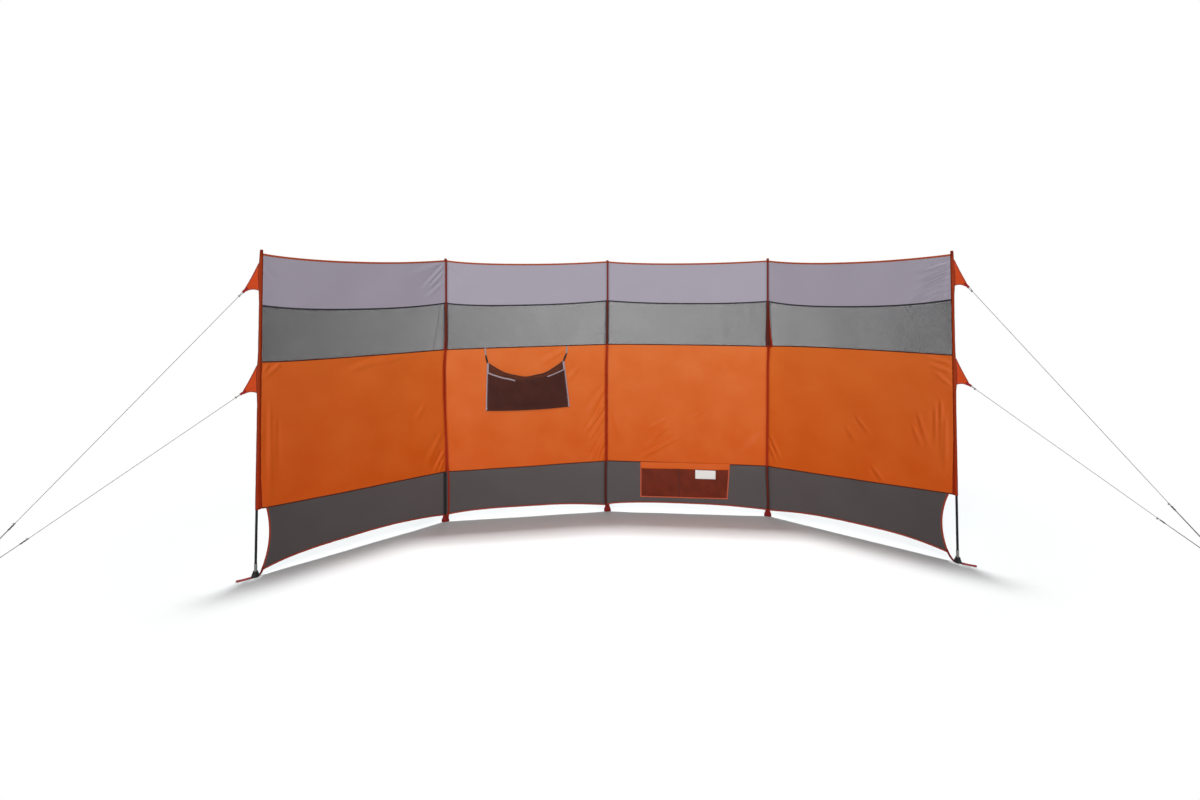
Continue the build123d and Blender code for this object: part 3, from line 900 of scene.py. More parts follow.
@dataclass(frozen=True)
class EdgeLine:
    """How one edge or seam runs along the bays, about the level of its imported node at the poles.

    Shifts at the poles and drops in the bays are millimetres, as the cloth was rigged by hand, and a peak is
    the share across a bay where its drop is greatest.
    """

    level: float
    pole_shifts: Numbers
    drops: Numbers
    peaks: Numbers
    power: float

    def at_pole(self, pole: int) -> float:
        """Height of the line at a pole."""
        return self.level + self.pole_shifts[pole] * MM

    def heights(self, bay: int, share: Array) -> Array:
        """Heights along a bay: the straight line between its poles, less the drop times a bow.

        The bow is 1 - |2 s - 1| to the power, with s the share raised so that it is a half at the peak.

        Args:
            bay: its number.
            share: places along it from 0 to 1.

        Returns:
            A height for each place.
        """
        leaned = share ** (math.log(0.5) / math.log(self.peaks[bay]))
        straight = between(self.at_pole(bay), self.at_pole(bay + 1), share)
        return straight - self.drops[bay] * MM * (1.0 - np.abs(2.0 * leaned - 1.0) ** self.power)


@dataclass
class Rig:
    """Feet, directions and seam lines of the windbreak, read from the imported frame."""

    strip_centre: float = 7.1 * MM
    strip_reach: float = 4.6 * MM
    end_tip_inset: float = 25 * MM
    rod_clearance: float = 5.6 * MM
    bared_pole: int = 1
    bared_shift: float = 1.8 * MM
    tuck: float = 2 * MM
    end_guy_turn: float = math.radians(36.0)
    way_span: Pair = (-0.2, 1.8)
    way_step: float = 2 * MM
    way_window: int = 43
    # width of each line's tape or binding, from the top down
    tape_widths: Numbers = (10 * MM, 9 * MM, 6.5 * MM, 6.5 * MM, 8 * MM)
    # each line's shifts, drops, peaks and power, from the top down
    line_shapes: Sequence[tuple[Numbers, Numbers, Numbers, float]] = (
        ((-6, 2, 5, 5, 1), (25, 19, 15, 25), (0.46, 0.42, 0.44, 0.46), 2.2),
        ((-8, -5, 7, 4, 18), (26, 19, 15, 33), (0.47, 0.42, 0.5, 0.48), 2.5),
        ((-7, -10, 7, 2, 9), (7, 0, -2, -8), (0.33, 0.5, 0.4, 0.36), 2.0),
        ((14, -12, 5, -4, 31), (5, 3, 0, 3), (0.3, 0.35, 0.5, 0.36), 2.0),
        ((-16, -2, 0, -3, 0), (-37, -23, -23, -38), (0.46, 0.46, 0.42, 0.55), 2.8),
    )
    # for each end pole, distance of the skirt's hollow side from it at the skirt seam, midway and at the hem
    skirt_insets: Sequence[Numbers] = ((45 * MM, 54 * MM, 28 * MM), (46 * MM, 64 * MM, 38 * MM))
    # for each end pole, heights, and in millimetres how far its sleeve's flat hem reaches there
    end_hems: Sequence[tuple[Numbers, Numbers]] = (
        ((0.28, 0.45, 0.7, 1.0, 1.25, 1.5), (25, 16, 11, 10, 8, 7)),
        ((0.28, 0.45, 0.6, 0.8), (19, 14, 9, 6.5)),
    )
    # for each middle pole, heights, and in millimetres how far its strip lies to the right there
    strip_ways: Sequence[tuple[Numbers, Numbers]] = (
        ((0.03, 0.07, 0.26, 0.32, 0.45, 0.74, 0.9, 1.0, 1.06, 1.4), (12, 17, 17, 9, 5, -9, -10, 0, 4, 3)),
        ((0.03, 0.08, 0.27, 0.33, 0.87, 1.0, 1.3), (-8, -12, -11, -8, -8, -3, 1)),
        ((0.03, 0.09, 0.27, 0.33, 0.7, 0.9, 1.0, 1.06, 1.3), (2, 3, -5, -3, 0, 1, 7, 1, 1)),
    )

    def __post_init__(self) -> None:
        """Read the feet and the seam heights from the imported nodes."""
        low, high = (np.array(corner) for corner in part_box("end_feet"))
        base = (high[1] - low[1]) / 2
        self.feet = np.array([np.add(*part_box(f"{name}_pole")) / 2 for name in POLES])
        self.feet[END_POLES, 0] = low[0] + base, high[0] - base
        self.feet[END_POLES, 1] = (low[1] + high[1]) / 2
        self.feet[:, 2] = 0.0
        self.pole_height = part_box("centre_pole")[1][2]
        steps = unit(np.diff(self.feet, axis=0))
        self.along = unit(np.concatenate([steps[:1], steps]) + np.concatenate([steps, steps[-1:]]))
        self.back = np.cross(UP, self.along)
        self.cloth_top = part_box(Edge.TOP.value)[1][2]
        self.widths = dict(zip(Edge, self.tape_widths))
        self.lines = {edge: EdgeLine(self.level(edge), *row) for edge, row in zip(Edge, self.line_shapes)}

    def level(self, edge: Edge) -> float:
        """Height of the middle of a line's tape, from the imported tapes' top or, at the hem, their bottom."""
        low, high, half = *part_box(edge.value), self.widths[edge] / 2
        return low[2] + half if edge is Edge.HEM else high[2] - half

    def strip_way(self, pole: int, z: Array) -> Array:
        """How far a middle pole's strip lies to the right: its table, smoothed over about 40 mm.

        Args:
            pole: its number.
            z: heights.

        Returns:
            A distance for each height.
        """
        levels = np.arange(*self.way_span, self.way_step)
        window = np.hanning(self.way_window)
        ways = np.interp(levels, *self.strip_ways[MIDDLE_POLES.index(pole)])
        return np.interp(z, levels, np.convolve(ways, window / window.sum(), "same")) * MM

    def end_hem(self, pole: int, z: Array) -> Array:
        """Reach of an end sleeve's flat hem at each height."""
        return np.interp(z, *self.end_hems[END_POLES.index(pole)]) * MM

    def inward(self, pole: int) -> float:
        """Which way along leads in from an end pole: 1 at the left, -1 at the right, 0 at a middle pole."""
        return float(pole == END_POLES[0]) - float(pole == END_POLES[1])

    def pole_axis(self, pole: int) -> Array:
        """Direction of a pole: upright, or leaning in along its bay at the ends."""
        return unit(UP * self.pole_height + self.along[pole] * self.inward(pole) * self.end_tip_inset)

    def guy_way(self, pole: int) -> Array:
        """Level direction that a pole's guys pull: back, or outwards and a little back at the ends.

        Args:
            pole: its number.

        Returns:
            The direction.
        """
        if pole in MIDDLE_POLES:
            return self.back[pole]
        outward = self.along[pole] * -self.inward(pole)
        return outward * math.cos(self.end_guy_turn) + self.back[pole] * math.sin(self.end_guy_turn)

    def strip_plane(self, pole: int) -> Plane:
        """The plane of the flat strip in front of a middle pole."""
        back = self.back[pole]
        return Plane(self.feet[pole] - back * self.strip_centre, self.along[pole], -back)


@dataclass(frozen=True)
class Fold:
    """A crease along a straight line in a bay, from start to end as share across and height.

    Its section is a rounded ridge with a shallower furrow beside it, and it widens towards the end.
    """

    start_share: float
    start_height: float
    end_share: float
    end_height: float
    width: float
    depth_mm: float
    widening: float = 0.8
    furrow_depth: float = 0.5
    furrow_place: float = 1.7
    furrow_width: float = 1.2
    fade_in: Pair = (-0.05, 0.2)
    fade_out: Pair = (0.5, 1.1)

    def relief(self, x: Array, z: Array, span: float) -> Array:
        """Height of the crease at each place.

        With d the distance from the line over the width there, the ridge is exp(-d^2) less half of
        exp(-((d - 1.7) / 1.2)^2), faded in over the first fifth of the line and out over its last half.

        Args:
            x: places along the bay.
            z: heights.
            span: the bay's width.

        Returns:
            A height for each place.
        """
        over, up = x - self.start_share * span, z - self.start_height
        run, rise = (self.end_share - self.start_share) * span, self.end_height - self.start_height
        length = math.hypot(run, rise)
        share = (over * run + up * rise) / length**2
        wide = self.width * (1.0 + self.widening * np.clip(share, 0.0, 1.0))
        off = (over * rise - up * run) / length / wide
        fade = smooth_step(*self.fade_in, share) * (1.0 - smooth_step(*self.fade_out, share))
        furrow = self.furrow_depth * bell(off - self.furrow_place, self.furrow_width)
        return self.depth_mm * MM * fade * (bell(off, 1.0) - furrow)


FINE, MEDIUM, BROAD = 6.5 * MM, 10 * MM, 17 * MM

# creases of each bay: share across and height at the start, the same at the end, width, depth in millimetres
CREASES = (
    (
        (0.057, 0.985, 0.028, 0.93, FINE, 2.0), (0.112, 0.985, 0.035, 0.92, FINE, 2.4),
        (0.665, 0.975, 0.40, 0.91, MEDIUM, 2.6), (0.60, 0.975, 0.45, 0.935, FINE, 1.8),
        (0.74, 0.975, 0.55, 0.93, MEDIUM, 1.6), (1.0, 0.42, 0.925, 0.29, FINE, 3.4),
        (0.995, 0.37, 0.96, 0.285, FINE, 2.6), (0.98, 0.52, 0.87, 0.33, MEDIUM, 1.6),
        (0.87, 0.69, 0.81, 0.6, MEDIUM, 1.4), (0.062, 0.82, 0.064, 0.32, FINE, 1.6),
        (0.10, 0.74, 0.102, 0.45, FINE, -0.9), (0.995, 1.485, 0.85, 1.335, FINE, 2.6),
        (0.99, 1.44, 0.89, 1.34, FINE, 2.4), (0.985, 1.38, 0.88, 1.295, FINE, 1.8),
        (0.99, 1.5, 0.78, 1.42, MEDIUM, 1.4), (0.028, 1.44, 0.09, 1.4, FINE, 1.6),
    ),
    (
        (0.995, 0.66, 0.865, 0.48, FINE, 3.0), (0.995, 0.60, 0.885, 0.43, FINE, 3.2),
        (0.992, 0.48, 0.895, 0.30, FINE, 3.6), (0.995, 0.455, 0.93, 0.30, FINE, 3.2),
        (0.997, 0.40, 0.962, 0.30, FINE, 2.4), (0.99, 0.76, 0.88, 0.59, MEDIUM, 2.6),
        (0.99, 0.70, 0.93, 0.54, FINE, 2.4), (0.735, 0.985, 0.57, 0.90, MEDIUM, 2.2),
        (0.82, 0.88, 0.74, 0.79, MEDIUM, 1.6), (0.01, 0.62, 0.05, 0.40, MEDIUM, 1.4),
        (0.01, 1.49, 0.14, 1.40, MEDIUM, 1.2),
    ),
    (
        (0.40, 0.555, 0.24, 0.38, FINE, 1.8), (0.37, 0.565, 0.25, 0.50, FINE, 1.4),
        (0.45, 0.455, 0.215, 0.33, FINE, 2.0), (0.395, 0.525, 0.275, 0.445, FINE, 1.5),
        (0.35, 0.40, 0.20, 0.325, FINE, 1.6), (0.605, 0.625, 0.54, 0.57, FINE, 1.4),
        (0.98, 0.50, 0.86, 0.36, BROAD, 1.4), (0.03, 0.60, 0.08, 0.42, MEDIUM, 1.2),
    ),
    (
        (0.008, 0.49, 0.08, 0.34, FINE, 3.0), (0.008, 0.42, 0.055, 0.325, FINE, 2.6),
        (0.505, 0.66, 0.585, 0.56, FINE, 2.2), (0.45, 0.60, 0.52, 0.50, MEDIUM, 1.5),
        (0.79, 0.65, 0.84, 0.53, FINE, 1.5), (0.815, 0.72, 0.87, 0.54, FINE, 1.9),
        (0.59, 0.405, 0.655, 0.325, FINE, 2.2), (0.90, 0.76, 0.905, 0.53, FINE, 2.4),
        (0.925, 0.80, 0.929, 0.46, FINE, 3.0), (0.944, 0.72, 0.947, 0.43, FINE, 2.6),
        (0.978, 0.975, 0.85, 0.995, FINE, 2.4), (0.975, 0.93, 0.86, 0.965, FINE, 2.8),
        (0.975, 0.86, 0.89, 0.93, FINE, 2.4), (0.968, 1.475, 0.80, 1.42, FINE, 3.8),
        (0.965, 1.435, 0.82, 1.375, FINE, 4.6), (0.962, 1.405, 0.81, 1.325, FINE, 5.0),
        (0.958, 1.375, 0.80, 1.292, FINE, 4.6), (0.955, 1.345, 0.78, 1.272, FINE, 4.4),
        (0.95, 1.315, 0.87, 1.278, FINE, 3.8),
    ),
)


@dataclass
class Bay:
    """One bay of cloth between two poles."""

    rig: Rig
    number: int
    belly: float = 6 * MM
    hold: float = 16 * MM
    fold_hold_share: float = 1 / 3
    fold_gain: float = 2.0
    wave_seed: int = 40
    wave_depth: float = 0.9 * MM
    wave_count: int = 7
    wave_lengths: Pair = (0.13, 0.5)
    fin_overlap: float = 4 * MM
    seam_shade: float = 9 * MM
    tape_step: float = 7 * MM
    side_steps: int = 48
    # share of painted shade, for the daylight they lose, on each bay's cloth and on its nets at the left and
    # right ends
    end_painted_shade: Sequence[Pair] = ((0.42, 0.08), (0.08, 0.0), (0.0, 0.02), (0.02, 0.28))
    net_end_painted_shade: Sequence[Pair] = ((0.54, 0.0), (0.34, 0.06), (0.12, 0.2), (0.0, 0.5))

    def __post_init__(self) -> None:
        """Lay the plane through the cloth's ends at its two poles and draw the waves of slack."""
        self.poles = (self.number, self.number + 1)
        left, right = (self.corner(pole, side) for pole, side in zip(self.poles, (1.0, -1.0)))
        self.span = float(np.linalg.norm(right - left))
        across = (right - left) / self.span
        self.plane = Plane(left, across, np.cross(across, UP))
        draw = np.random.default_rng(self.wave_seed + self.number)
        angles = draw.uniform(0.0, np.pi, self.wave_count)
        lengths = draw.uniform(*self.wave_lengths, self.wave_count)
        self.waves = np.stack([angles, lengths, draw.uniform(0.0, 2.0 * np.pi, self.wave_count)], -1)
        self.folds = [Fold(*row) for row in CREASES[self.number]]

    @property
    def name(self) -> str:
        """The bay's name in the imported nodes."""
        return BAYS[self.number]

    def corner(self, pole: int, side: float) -> Array:
        """Foot of the cloth's edge at a pole: on an end pole's axis, or beside a middle pole's strip.

        Args:
            pole: its number.
            side: 1 or -1, for the bay to its right or left.

        Returns:
            The point.
        """
        if pole in END_POLES:
            return self.rig.feet[pole]
        return self.rig.strip_plane(pole).place(side * self.rig.strip_reach, 0.0, 0.0)

    def heights(self, edge: Edge, share: Array) -> Array:
        """Heights of one of the bay's lines at places along it."""
        return self.rig.lines[edge].heights(self.number, share)

    def end_inset(self, z: Array, skirt: bool) -> Array:
        """Distance of the cloth's edge from an end pole's foot, in the sleeve's hem or the skirt's hollow.

        The hollow is the parabola through its distances at the skirt seam, midway and at the hem.

        Args:
            z: heights.
            skirt: whether it is the skirt's edge.

        Returns:
            A distance for each height.
        """
        rig, pole = self.rig, END_POLES[self.number > 0]
        if not skirt:
            fin = np.maximum(rig.end_hem(pole, z) - self.fin_overlap, rig.rod_clearance)
            return fin + rig.end_tip_inset * z / rig.pole_height
        top, middle, bottom = rig.skirt_insets[END_POLES.index(pole)]
        high, low = rig.lines[Edge.SKIRT_SEAM].level, rig.lines[Edge.HEM].level
        share = (z - low) / (high - low)
        sag = (middle - (top + bottom) / 2) * bow(share)
        return between(bottom, top, share) + sag + rig.widths[Edge.HEM] / 2

    def side(self, pole: int, z: Array, skirt: bool) -> Array:
        """x of the cloth's edge at one of its poles.

        It is tucked under the strip and follows its way, but the skirt leaves one rod beside it in view.

        Args:
            pole: its number.
            z: heights.
            skirt: whether it is the skirt's edge.

        Returns:
            A place along the bay for each height.
        """
        start, inward = (0.0, 1.0) if pole == self.number else (self.span, -1.0)
        if pole in END_POLES:
            return start + inward * self.end_inset(z, skirt)
        if skirt and pole == self.rig.bared_pole:
            return np.full(np.shape(z), start - self.rig.bared_shift)
        return start + (self.rig.strip_way(pole, z) - inward * self.rig.tuck)

    def sides(self, z: Array, skirt: bool) -> tuple[Array, Array]:
        """x of the cloth's left and right edges at each height, in the skirt or above it."""
        return self.side(self.poles[0], z, skirt), self.side(self.poles[1], z, skirt)

    def relief(self, x: Array, z: Array) -> Array:
        """Lift of the cloth: a shallow belly away from the viewer, waves of slack and the creases.

        The belly is a half wave across times a half wave up, and the waves are sines in seeded directions.
        All die away near a pole as 1 - exp(-(d / hold)^2), the creases within a third of that hold.

        Args:
            x: places along the bay.
            z: heights.

        Returns:
            A lift for each place.
        """
        x, z = np.broadcast_arrays(np.asarray(x, float), np.asarray(z, float))
        left, right = self.sides(z, False)
        gap = np.clip(np.minimum(x - left, right - x), 0.0, None)
        hollow = np.sin(np.pi * np.clip(x / self.span, 0, 1)) * np.sin(np.pi * z / self.rig.pole_height)
        waves = np.zeros(x.shape)
        for angle, length, start in self.waves:
            along = x * math.cos(angle) + z * math.sin(angle)
            waves += length / self.wave_lengths[1] * np.sin(2.0 * np.pi * along / length + start)
        slack = waves * self.wave_depth - self.belly * hollow
        folds = sum((fold.relief(x, z, self.span) for fold in self.folds), np.zeros(x.shape))
        near = 1.0 - bell(gap, self.hold * self.fold_hold_share)
        return slack * (1.0 - bell(gap, self.hold)) + folds * near * self.fold_gain

    def panel(self, upper: Edge, lower: Edge, cell: float) -> Cut:
        """A sheet between two of the bay's lines, straight from side to side and from line to line.

        Shade is painted on it beside the strip at a middle pole, and from one end of the bay to the other for
        the daylight it loses.

        Args:
            upper: the line at its top.
            lower: the line at its bottom.
            cell: size of its grid.

        Returns:
            The sheet, its greatest sizes and its flat area.
        """
        share = shares(round(self.span / cell) + 1)
        top, bottom = self.heights(upper, share), self.heights(lower, share)
        tall = float((top - bottom).max())
        z = between(bottom, top, shares(round(tall / cell) + 1)[:, None])
        left, right = self.sides(z, lower is Edge.HEM)
        x = between(left, right, share)
        # shade is painted beside a middle pole's strip and towards the ends of the bay
        gaps = zip(self.poles, (x - left, right - x))
        shaded = sum(bell(gap, self.seam_shade) for pole, gap in gaps if pole in MIDDLE_POLES)
        ends = self.net_end_painted_shade if lower in (Edge.WINDOW_SEAM, Edge.HEM) else self.end_painted_shade
        shaded = np.maximum(shaded, between(*ends[self.number], share))
        surface = self.plane.sheet(x, z, self.relief(x, z), shaded)
        return surface, (float((right - left).max()), tall), flat_area(x, z)

    def tape(self, edge: Edge, thickness: float) -> Surface:
        """A tape along one of the bay's lines.

        Args:
            edge: the line.
            thickness: through it.

        Returns:
            The surface.
        """
        share = shares(round(self.span / self.tape_step) + 1)
        z = self.heights(edge, share)
        path = paired(between(*self.sides(z, edge is Edge.HEM), share), z)
        return band(self.plane, path, self.rig.widths[edge] / 2, thickness, self.relief)

    def side_binding(self, thickness: float) -> Surface:
        """The binding down the hollow outer edge of an end bay's skirt.

        Args:
            thickness: through it.

        Returns:
            The surface.
        """
        end = int(self.number > 0)
        low, high = (float(self.heights(edge, np.array(float(end)))) for edge in (Edge.HEM, Edge.SKIRT_SEAM))
        z = np.linspace(low, high, self.side_steps)
        path = paired(self.sides(z, True)[end], z)
        return band(self.plane, path, self.rig.widths[Edge.HEM] / 2, thickness, self.relief)


@dataclass
class BayCloth:
    """The sewn strips of one bay: top band, window mesh, main panel and skirt mesh, with their tapes."""

    bay: Bay
    cloth_thickness: float = 0.6 * MM
    net_thickness: float = 0.9 * MM
    tape_thickness: float = 2.6 * MM
    cloth_cell: float = 6 * MM
    net_cell: float = 12 * MM

    def build(self) -> None:
        bay, name = self.bay, self.bay.name
        tapes = (
            ("top_binding", ORANGE_BINDING, "edge_binding"),
            ("top_seam_tape", BLACK_TAPE, "black_tape"),
            ("window_tape", BROWN_TAPE, "brown_tape"),
            ("skirt_tape", BROWN_TAPE, "brown_tape"),
            ("hem_edge", HEM_BINDING, "edge_binding"),
        )
        top, top_seam, window_seam, skirt_seam, *hem = (
            put(f"{name}_{word}", bay.tape(edge, self.tape_thickness), finish, slot, (edge.value,))
            for edge, (word, finish, slot) in zip(Edge, tapes)
        )
        if bay.number in (0, len(BAYS) - 1):
            side = bay.side_binding(self.tape_thickness)
            node = ("skirt_side_bindings",)
            hem.append(put(f"{name}_skirt_side", side, HEM_BINDING, "edge_binding", node))
        strips = (
            ("top_band", Edge.TOP, Edge.TOP_SEAM, LAVENDER_CLOTH, "top_cloth", [top, top_seam]),
            ("window_mesh", Edge.TOP_SEAM, Edge.WINDOW_SEAM, WINDOW_NET, "window_mesh", [window_seam]),
            ("main_panel", Edge.WINDOW_SEAM, Edge.SKIRT_SEAM, ORANGE_CLOTH, "main_cloth", [skirt_seam]),
            ("skirt_mesh", Edge.SKIRT_SEAM, Edge.HEM, SKIRT_NET, "skirt_mesh", hem),
        )
        poles = [f"{POLES[pole]}_pole" for pole in bay.poles]
        for word, upper, lower, finish, slot, on_it in strips:
            net = isinstance(finish, Netting)
            surface, flat, area = bay.panel(upper, lower, self.net_cell if net else self.cloth_cell)
            thickness = self.net_thickness if net else self.cloth_thickness
            sheet = put(f"{name}_{word}_cloth", surface, finish, slot, (f"{name}_{word}",), thickness)
            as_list(on_it)


# Sleeves and strips on the poles


@dataclass
class PoleSleeve:
    """The sewn tube that a pole stands in, and the flat strip in front of a middle pole."""

    rig: Rig
    bays: Sequence[Bay]
    radius: float = 7.2 * MM
    end_radius: float = 6.5 * MM
    teardrop_width: float = 0.77
    rod_room: float = 6.2 * MM
    wall: float = 0.8 * MM
    step: float = 9 * MM
    sides: int = 28
    # rows of depth, metres of rise to a radian, radians for each radian round, and radians more at each pole
    wrinkles: Sequence[Numbers] = ((0.05, 0.019, 2.0, 1.0), (0.04, 0.0083, -1.0, 2.0))
    gathered_radius: float = 6.4 * MM
    gather_height: float = 12 * MM
    gather_steps: Numbers = (1.0, 0.6, 0.3, 0.12, 0.04, 0.0)
    pleats: int = 7
    pleat_depth: float = 0.08
    # distances under the top where the gathers close, and the share of their radius there
    closing: tuple[Numbers, Numbers] = ((0.0, 0.5 * MM, 1.6 * MM), (0.25, 0.75, 1.0))
    # how far each sleeve is drawn together over its pole's tip
    tip_covers: Numbers = (3 * MM, 3 * MM, 3 * MM, 9 * MM, 9 * MM)
    # share of painted shade, and the distance over which it comes, at the tip, sewn hem and outer fold
    tip_painted_shade: Pair = (0.7, 20 * MM)
    seam_painted_shade: Pair = (0.3, 2.5 * MM)
    fold_painted_shade: Pair = (0.6, 3.5 * MM)
    tab_pull: float = 6 * MM
    tab_pull_height: float = 70 * MM
    strip_half: float = 4.8 * MM
    strip_thickness: float = 3.2 * MM
    strip_foot: float = 16 * MM
    strip_top: float = 2 * MM
    strip_slope: float = 0.34
    # for each middle pole, how far its strip widens to the left and to the right down the window
    gussets: Sequence[Pair] = ((6 * MM, 6 * MM), (2 * MM, 0.0), (12 * MM, 20 * MM))
    gusset_end: float = 12 * MM
    # for each middle pole, which edge of its gusset catches the light: 1 the right one, -1 the left one
    lit_sides: Sequence[int] = (-1, 0, 1)
    lit_from: float = 0.7
    # for each middle pole, share of painted shade on its strip in the skirt
    skirt_painted_shade: Numbers = (0.4, 0.9, 0.85)
    # the same for all of them in the main panel, at the foot and high up in the window, and in the top band
    strip_painted_shade: tuple[float, float, float, float] = (0.05, 1.0, 0.95, 0.7)
    # distances from the skirt seam, the window seam and the top seam where those shares begin and end
    painted_shade_ends: Sequence[Pair] = ((-6 * MM, 6 * MM), (-6 * MM, 8 * MM), (-60 * MM, 10 * MM))

    def build(self, tab_middles: Numbers) -> None:
        """Make every sleeve and strip.

        Args:
            tab_middles: heights where the guy tabs pull.
        """
        for pole, name in enumerate(POLES):
            middle = pole in MIDDLE_POLES
            surface, flat, area = self.middle_tube(pole) if middle else self.end_tube(pole, tab_middles)
            sleeve = (f"{name}_sleeve",)
            sewn = put(f"{name}_sleeve_tube", surface, SLEEVE_CLOTH, "sleeve_cloth", sleeve, self.wall)
            if middle:
                put(f"{name}_strip", self.strip(pole), STRIP_CLOTH, "sleeve_cloth", ("skirt_strips",))

    def levels(self, pole: int) -> Array:
        """Heights of a sleeve's rings, from under the skirt seam to over the tip, closest there.

        Args:
            pole: its number.

        Returns:
            The heights, as one column.
        """
        low = self.rig.lines[Edge.SKIRT_SEAM].at_pole(pole) - self.rig.widths[Edge.SKIRT_SEAM] / 2
        high = self.rig.pole_height + self.tip_covers[pole]
        below = high - self.gather_height
        body = np.linspace(low, below, round((below - low) / self.step), endpoint=False)
        return np.concatenate([body, high - self.gather_height * np.array(self.gather_steps)])[:, None]

    def slack(self, z: Array, turn: Array, pole: int) -> Array:
        """Uneven girth of the cloth: two sines that wind round as they rise, drawn together over the tip.

        Args:
            z: heights, as a column.
            turn: angles round the pole.
            pole: its number.

        Returns:
            A share of the radius at each place.
        """
        uneven = np.ones(np.broadcast(z, turn).shape)
        for depth, rise, wind, start in self.wrinkles:
            uneven += depth * np.sin(z / rise + wind * turn + start * pole)
        under = z.max() - z
        drawn = smooth_step(0.0, self.gather_height, under)
        gathered = self.gathered_radius / self.radius * (1.0 + self.pleat_depth * np.sin(self.pleats * turn))
        return between(gathered, uneven, drawn) * np.interp(under, *self.closing)

    def tip_shade(self, z: Array) -> Array:
        """Share of painted shade at the drawn tip, which comes in a step up to the cloth's top edge."""
        return self.tip_painted_shade[0] * smooth_step(-self.tip_painted_shade[1], 0.0, z - self.rig.cloth_top)

    def middle_tube(self, pole: int) -> Cut:
        """A middle pole's tube: a circle about the pole, flat where the strip is sewn on.

        Args:
            pole: its number.

        Returns:
            The sheet, its greatest girth and its length, and its flat area.
        """
        z, turn = self.levels(pole), full_turn(self.sides)
        reach = self.radius * self.slack(z, turn, pole)
        lift = np.minimum(reach * np.sin(turn), self.rig.strip_centre) - self.rig.strip_centre
        points = self.rig.strip_plane(pole).place(reach * np.cos(turn), z, lift)
        return self.ring_sheet(points, self.tip_shade(z))

    def end_tube(self, pole: int, tab_middles: Numbers) -> Cut:
        """An end pole's tube: a teardrop whose point is the flat hem that the cloth is sewn to.

        It is cos t along the bay and sin t times sin(t / 2) through it, kept out of the rod's room. Its
        round side is drawn out where a tab pulls; shade is painted on its hem and outer fold.

        Args:
            pole: its number.
            tab_middles: heights where the tabs pull.

        Returns:
            The sheet, its greatest girth and its length, and its flat area.
        """
        rig, bay = self.rig, self.bays[-END_POLES.index(pole)]
        z, turn = self.levels(pole), full_turn(self.sides * 2)
        pulled = sum(bell(z - middle, self.tab_pull_height) for middle in tab_middles)
        outer = self.end_radius + self.tab_pull * pulled
        hem = rig.end_hem(pole, z)
        half = (hem + outer) / 2
        uneven = self.slack(z, turn, pole)
        along = ((hem - half) + half * np.cos(turn)) * np.minimum(uneven, 1.0)
        through = self.end_radius / self.teardrop_width * np.sin(turn) * np.sin(turn / 2) * uneven
        spread = np.maximum(1.0, self.rod_room / np.hypot(along, through))
        spread = np.where(z < rig.pole_height, spread, 1.0)
        along, through = along * spread, through * spread
        inset = along + rig.end_tip_inset * z / rig.pole_height
        points = bay.plane.place(inset if pole == END_POLES[0] else bay.span - inset, z, through)
        # painted shade along the sewn hem and the outer fold
        seam = self.seam_painted_shade[0] * bell(hem - along, self.seam_painted_shade[1])
        fold = self.fold_painted_shade[0] * bell(along + outer, self.fold_painted_shade[1])
        return self.ring_sheet(points, np.maximum(seam + fold, self.tip_shade(z)))

    def ring_sheet(self, points: Array, shade: Array) -> Cut:
        """An open tube of cloth through rings of points.

        Args:
            points: rings at one height each, from the bottom up.
            shade: share of painted shade at each point.

        Returns:
            The sheet, its greatest girth and its length, and its flat area.
        """
        around, rise = ring_lengths(points), points[:, 0, 2]
        surface = grid(points, paired(around, rise[:, None]), Form.TUBE, shade)
        girth, steps = around[:, -1], np.diff(rise)
        area = float((steps * (girth[1:] + girth[:-1]) / 2).sum())
        return surface, (float(girth.max()), float(steps.sum())), area

    def strip(self, pole: int) -> Surface:
        """The strip in front of a middle pole, from its foot to the tip, bowed and widened into a gusset.

        Its reach to each side grows evenly from the top seam to the window seam. Shade is painted on it in
        the window and the skirt, but not on a gusset's edge that catches the light, which is a painted
        highlight.

        Args:
            pole: its number.

        Returns:
            The surface.
        """
        rig, number = self.rig, MIDDLE_POLES.index(pole)
        edges = (Edge.SKIRT_SEAM, Edge.WINDOW_SEAM, Edge.TOP_SEAM)
        seams = [rig.lines[edge].at_pole(pole) for edge in edges]
        _, window, top = seams
        high = rig.pole_height - self.strip_top
        z = np.linspace(self.strip_foot, high, round((high - self.strip_foot) / self.step) + 1)
        grown = np.clip((top - z) / (top - window), 0.0, 1.0)
        grown = grown * (1.0 - smooth_step(0.0, self.gusset_end, window - z))
        left, right = (self.strip_half + reach * grown for reach in self.gussets[number])
        # painted shade up the strip, taken off a gusset's lit edge as a painted highlight
        panel, foot, upper, top_band = self.strip_painted_shade
        ends = np.ravel(np.array(seams)[:, None] + self.painted_shade_ends)
        shade = np.interp(z, ends, (self.skirt_painted_shade[number], panel, panel, foot, upper, top_band))
        lit = strap_section()[0] * self.lit_sides[number] > self.lit_from
        layers = shade[:, None] * (1.0 - lit * grown[:, None])

        def forward(x_at: Array, z_at: Array) -> Array:
            """The cloth comes forward on both sides of the pole, and the strip stays in front of it."""
            return self.strip_slope * np.clip(np.abs(x_at) - rig.strip_reach, 0.0, None)

        # the upward path's right-hand side is the bay's +x
        path = paired(rig.strip_way(pole, z), z)
        plane = rig.strip_plane(pole)
        return band(plane, path, right, self.strip_thickness, forward, left, layers=layers)


# Guys


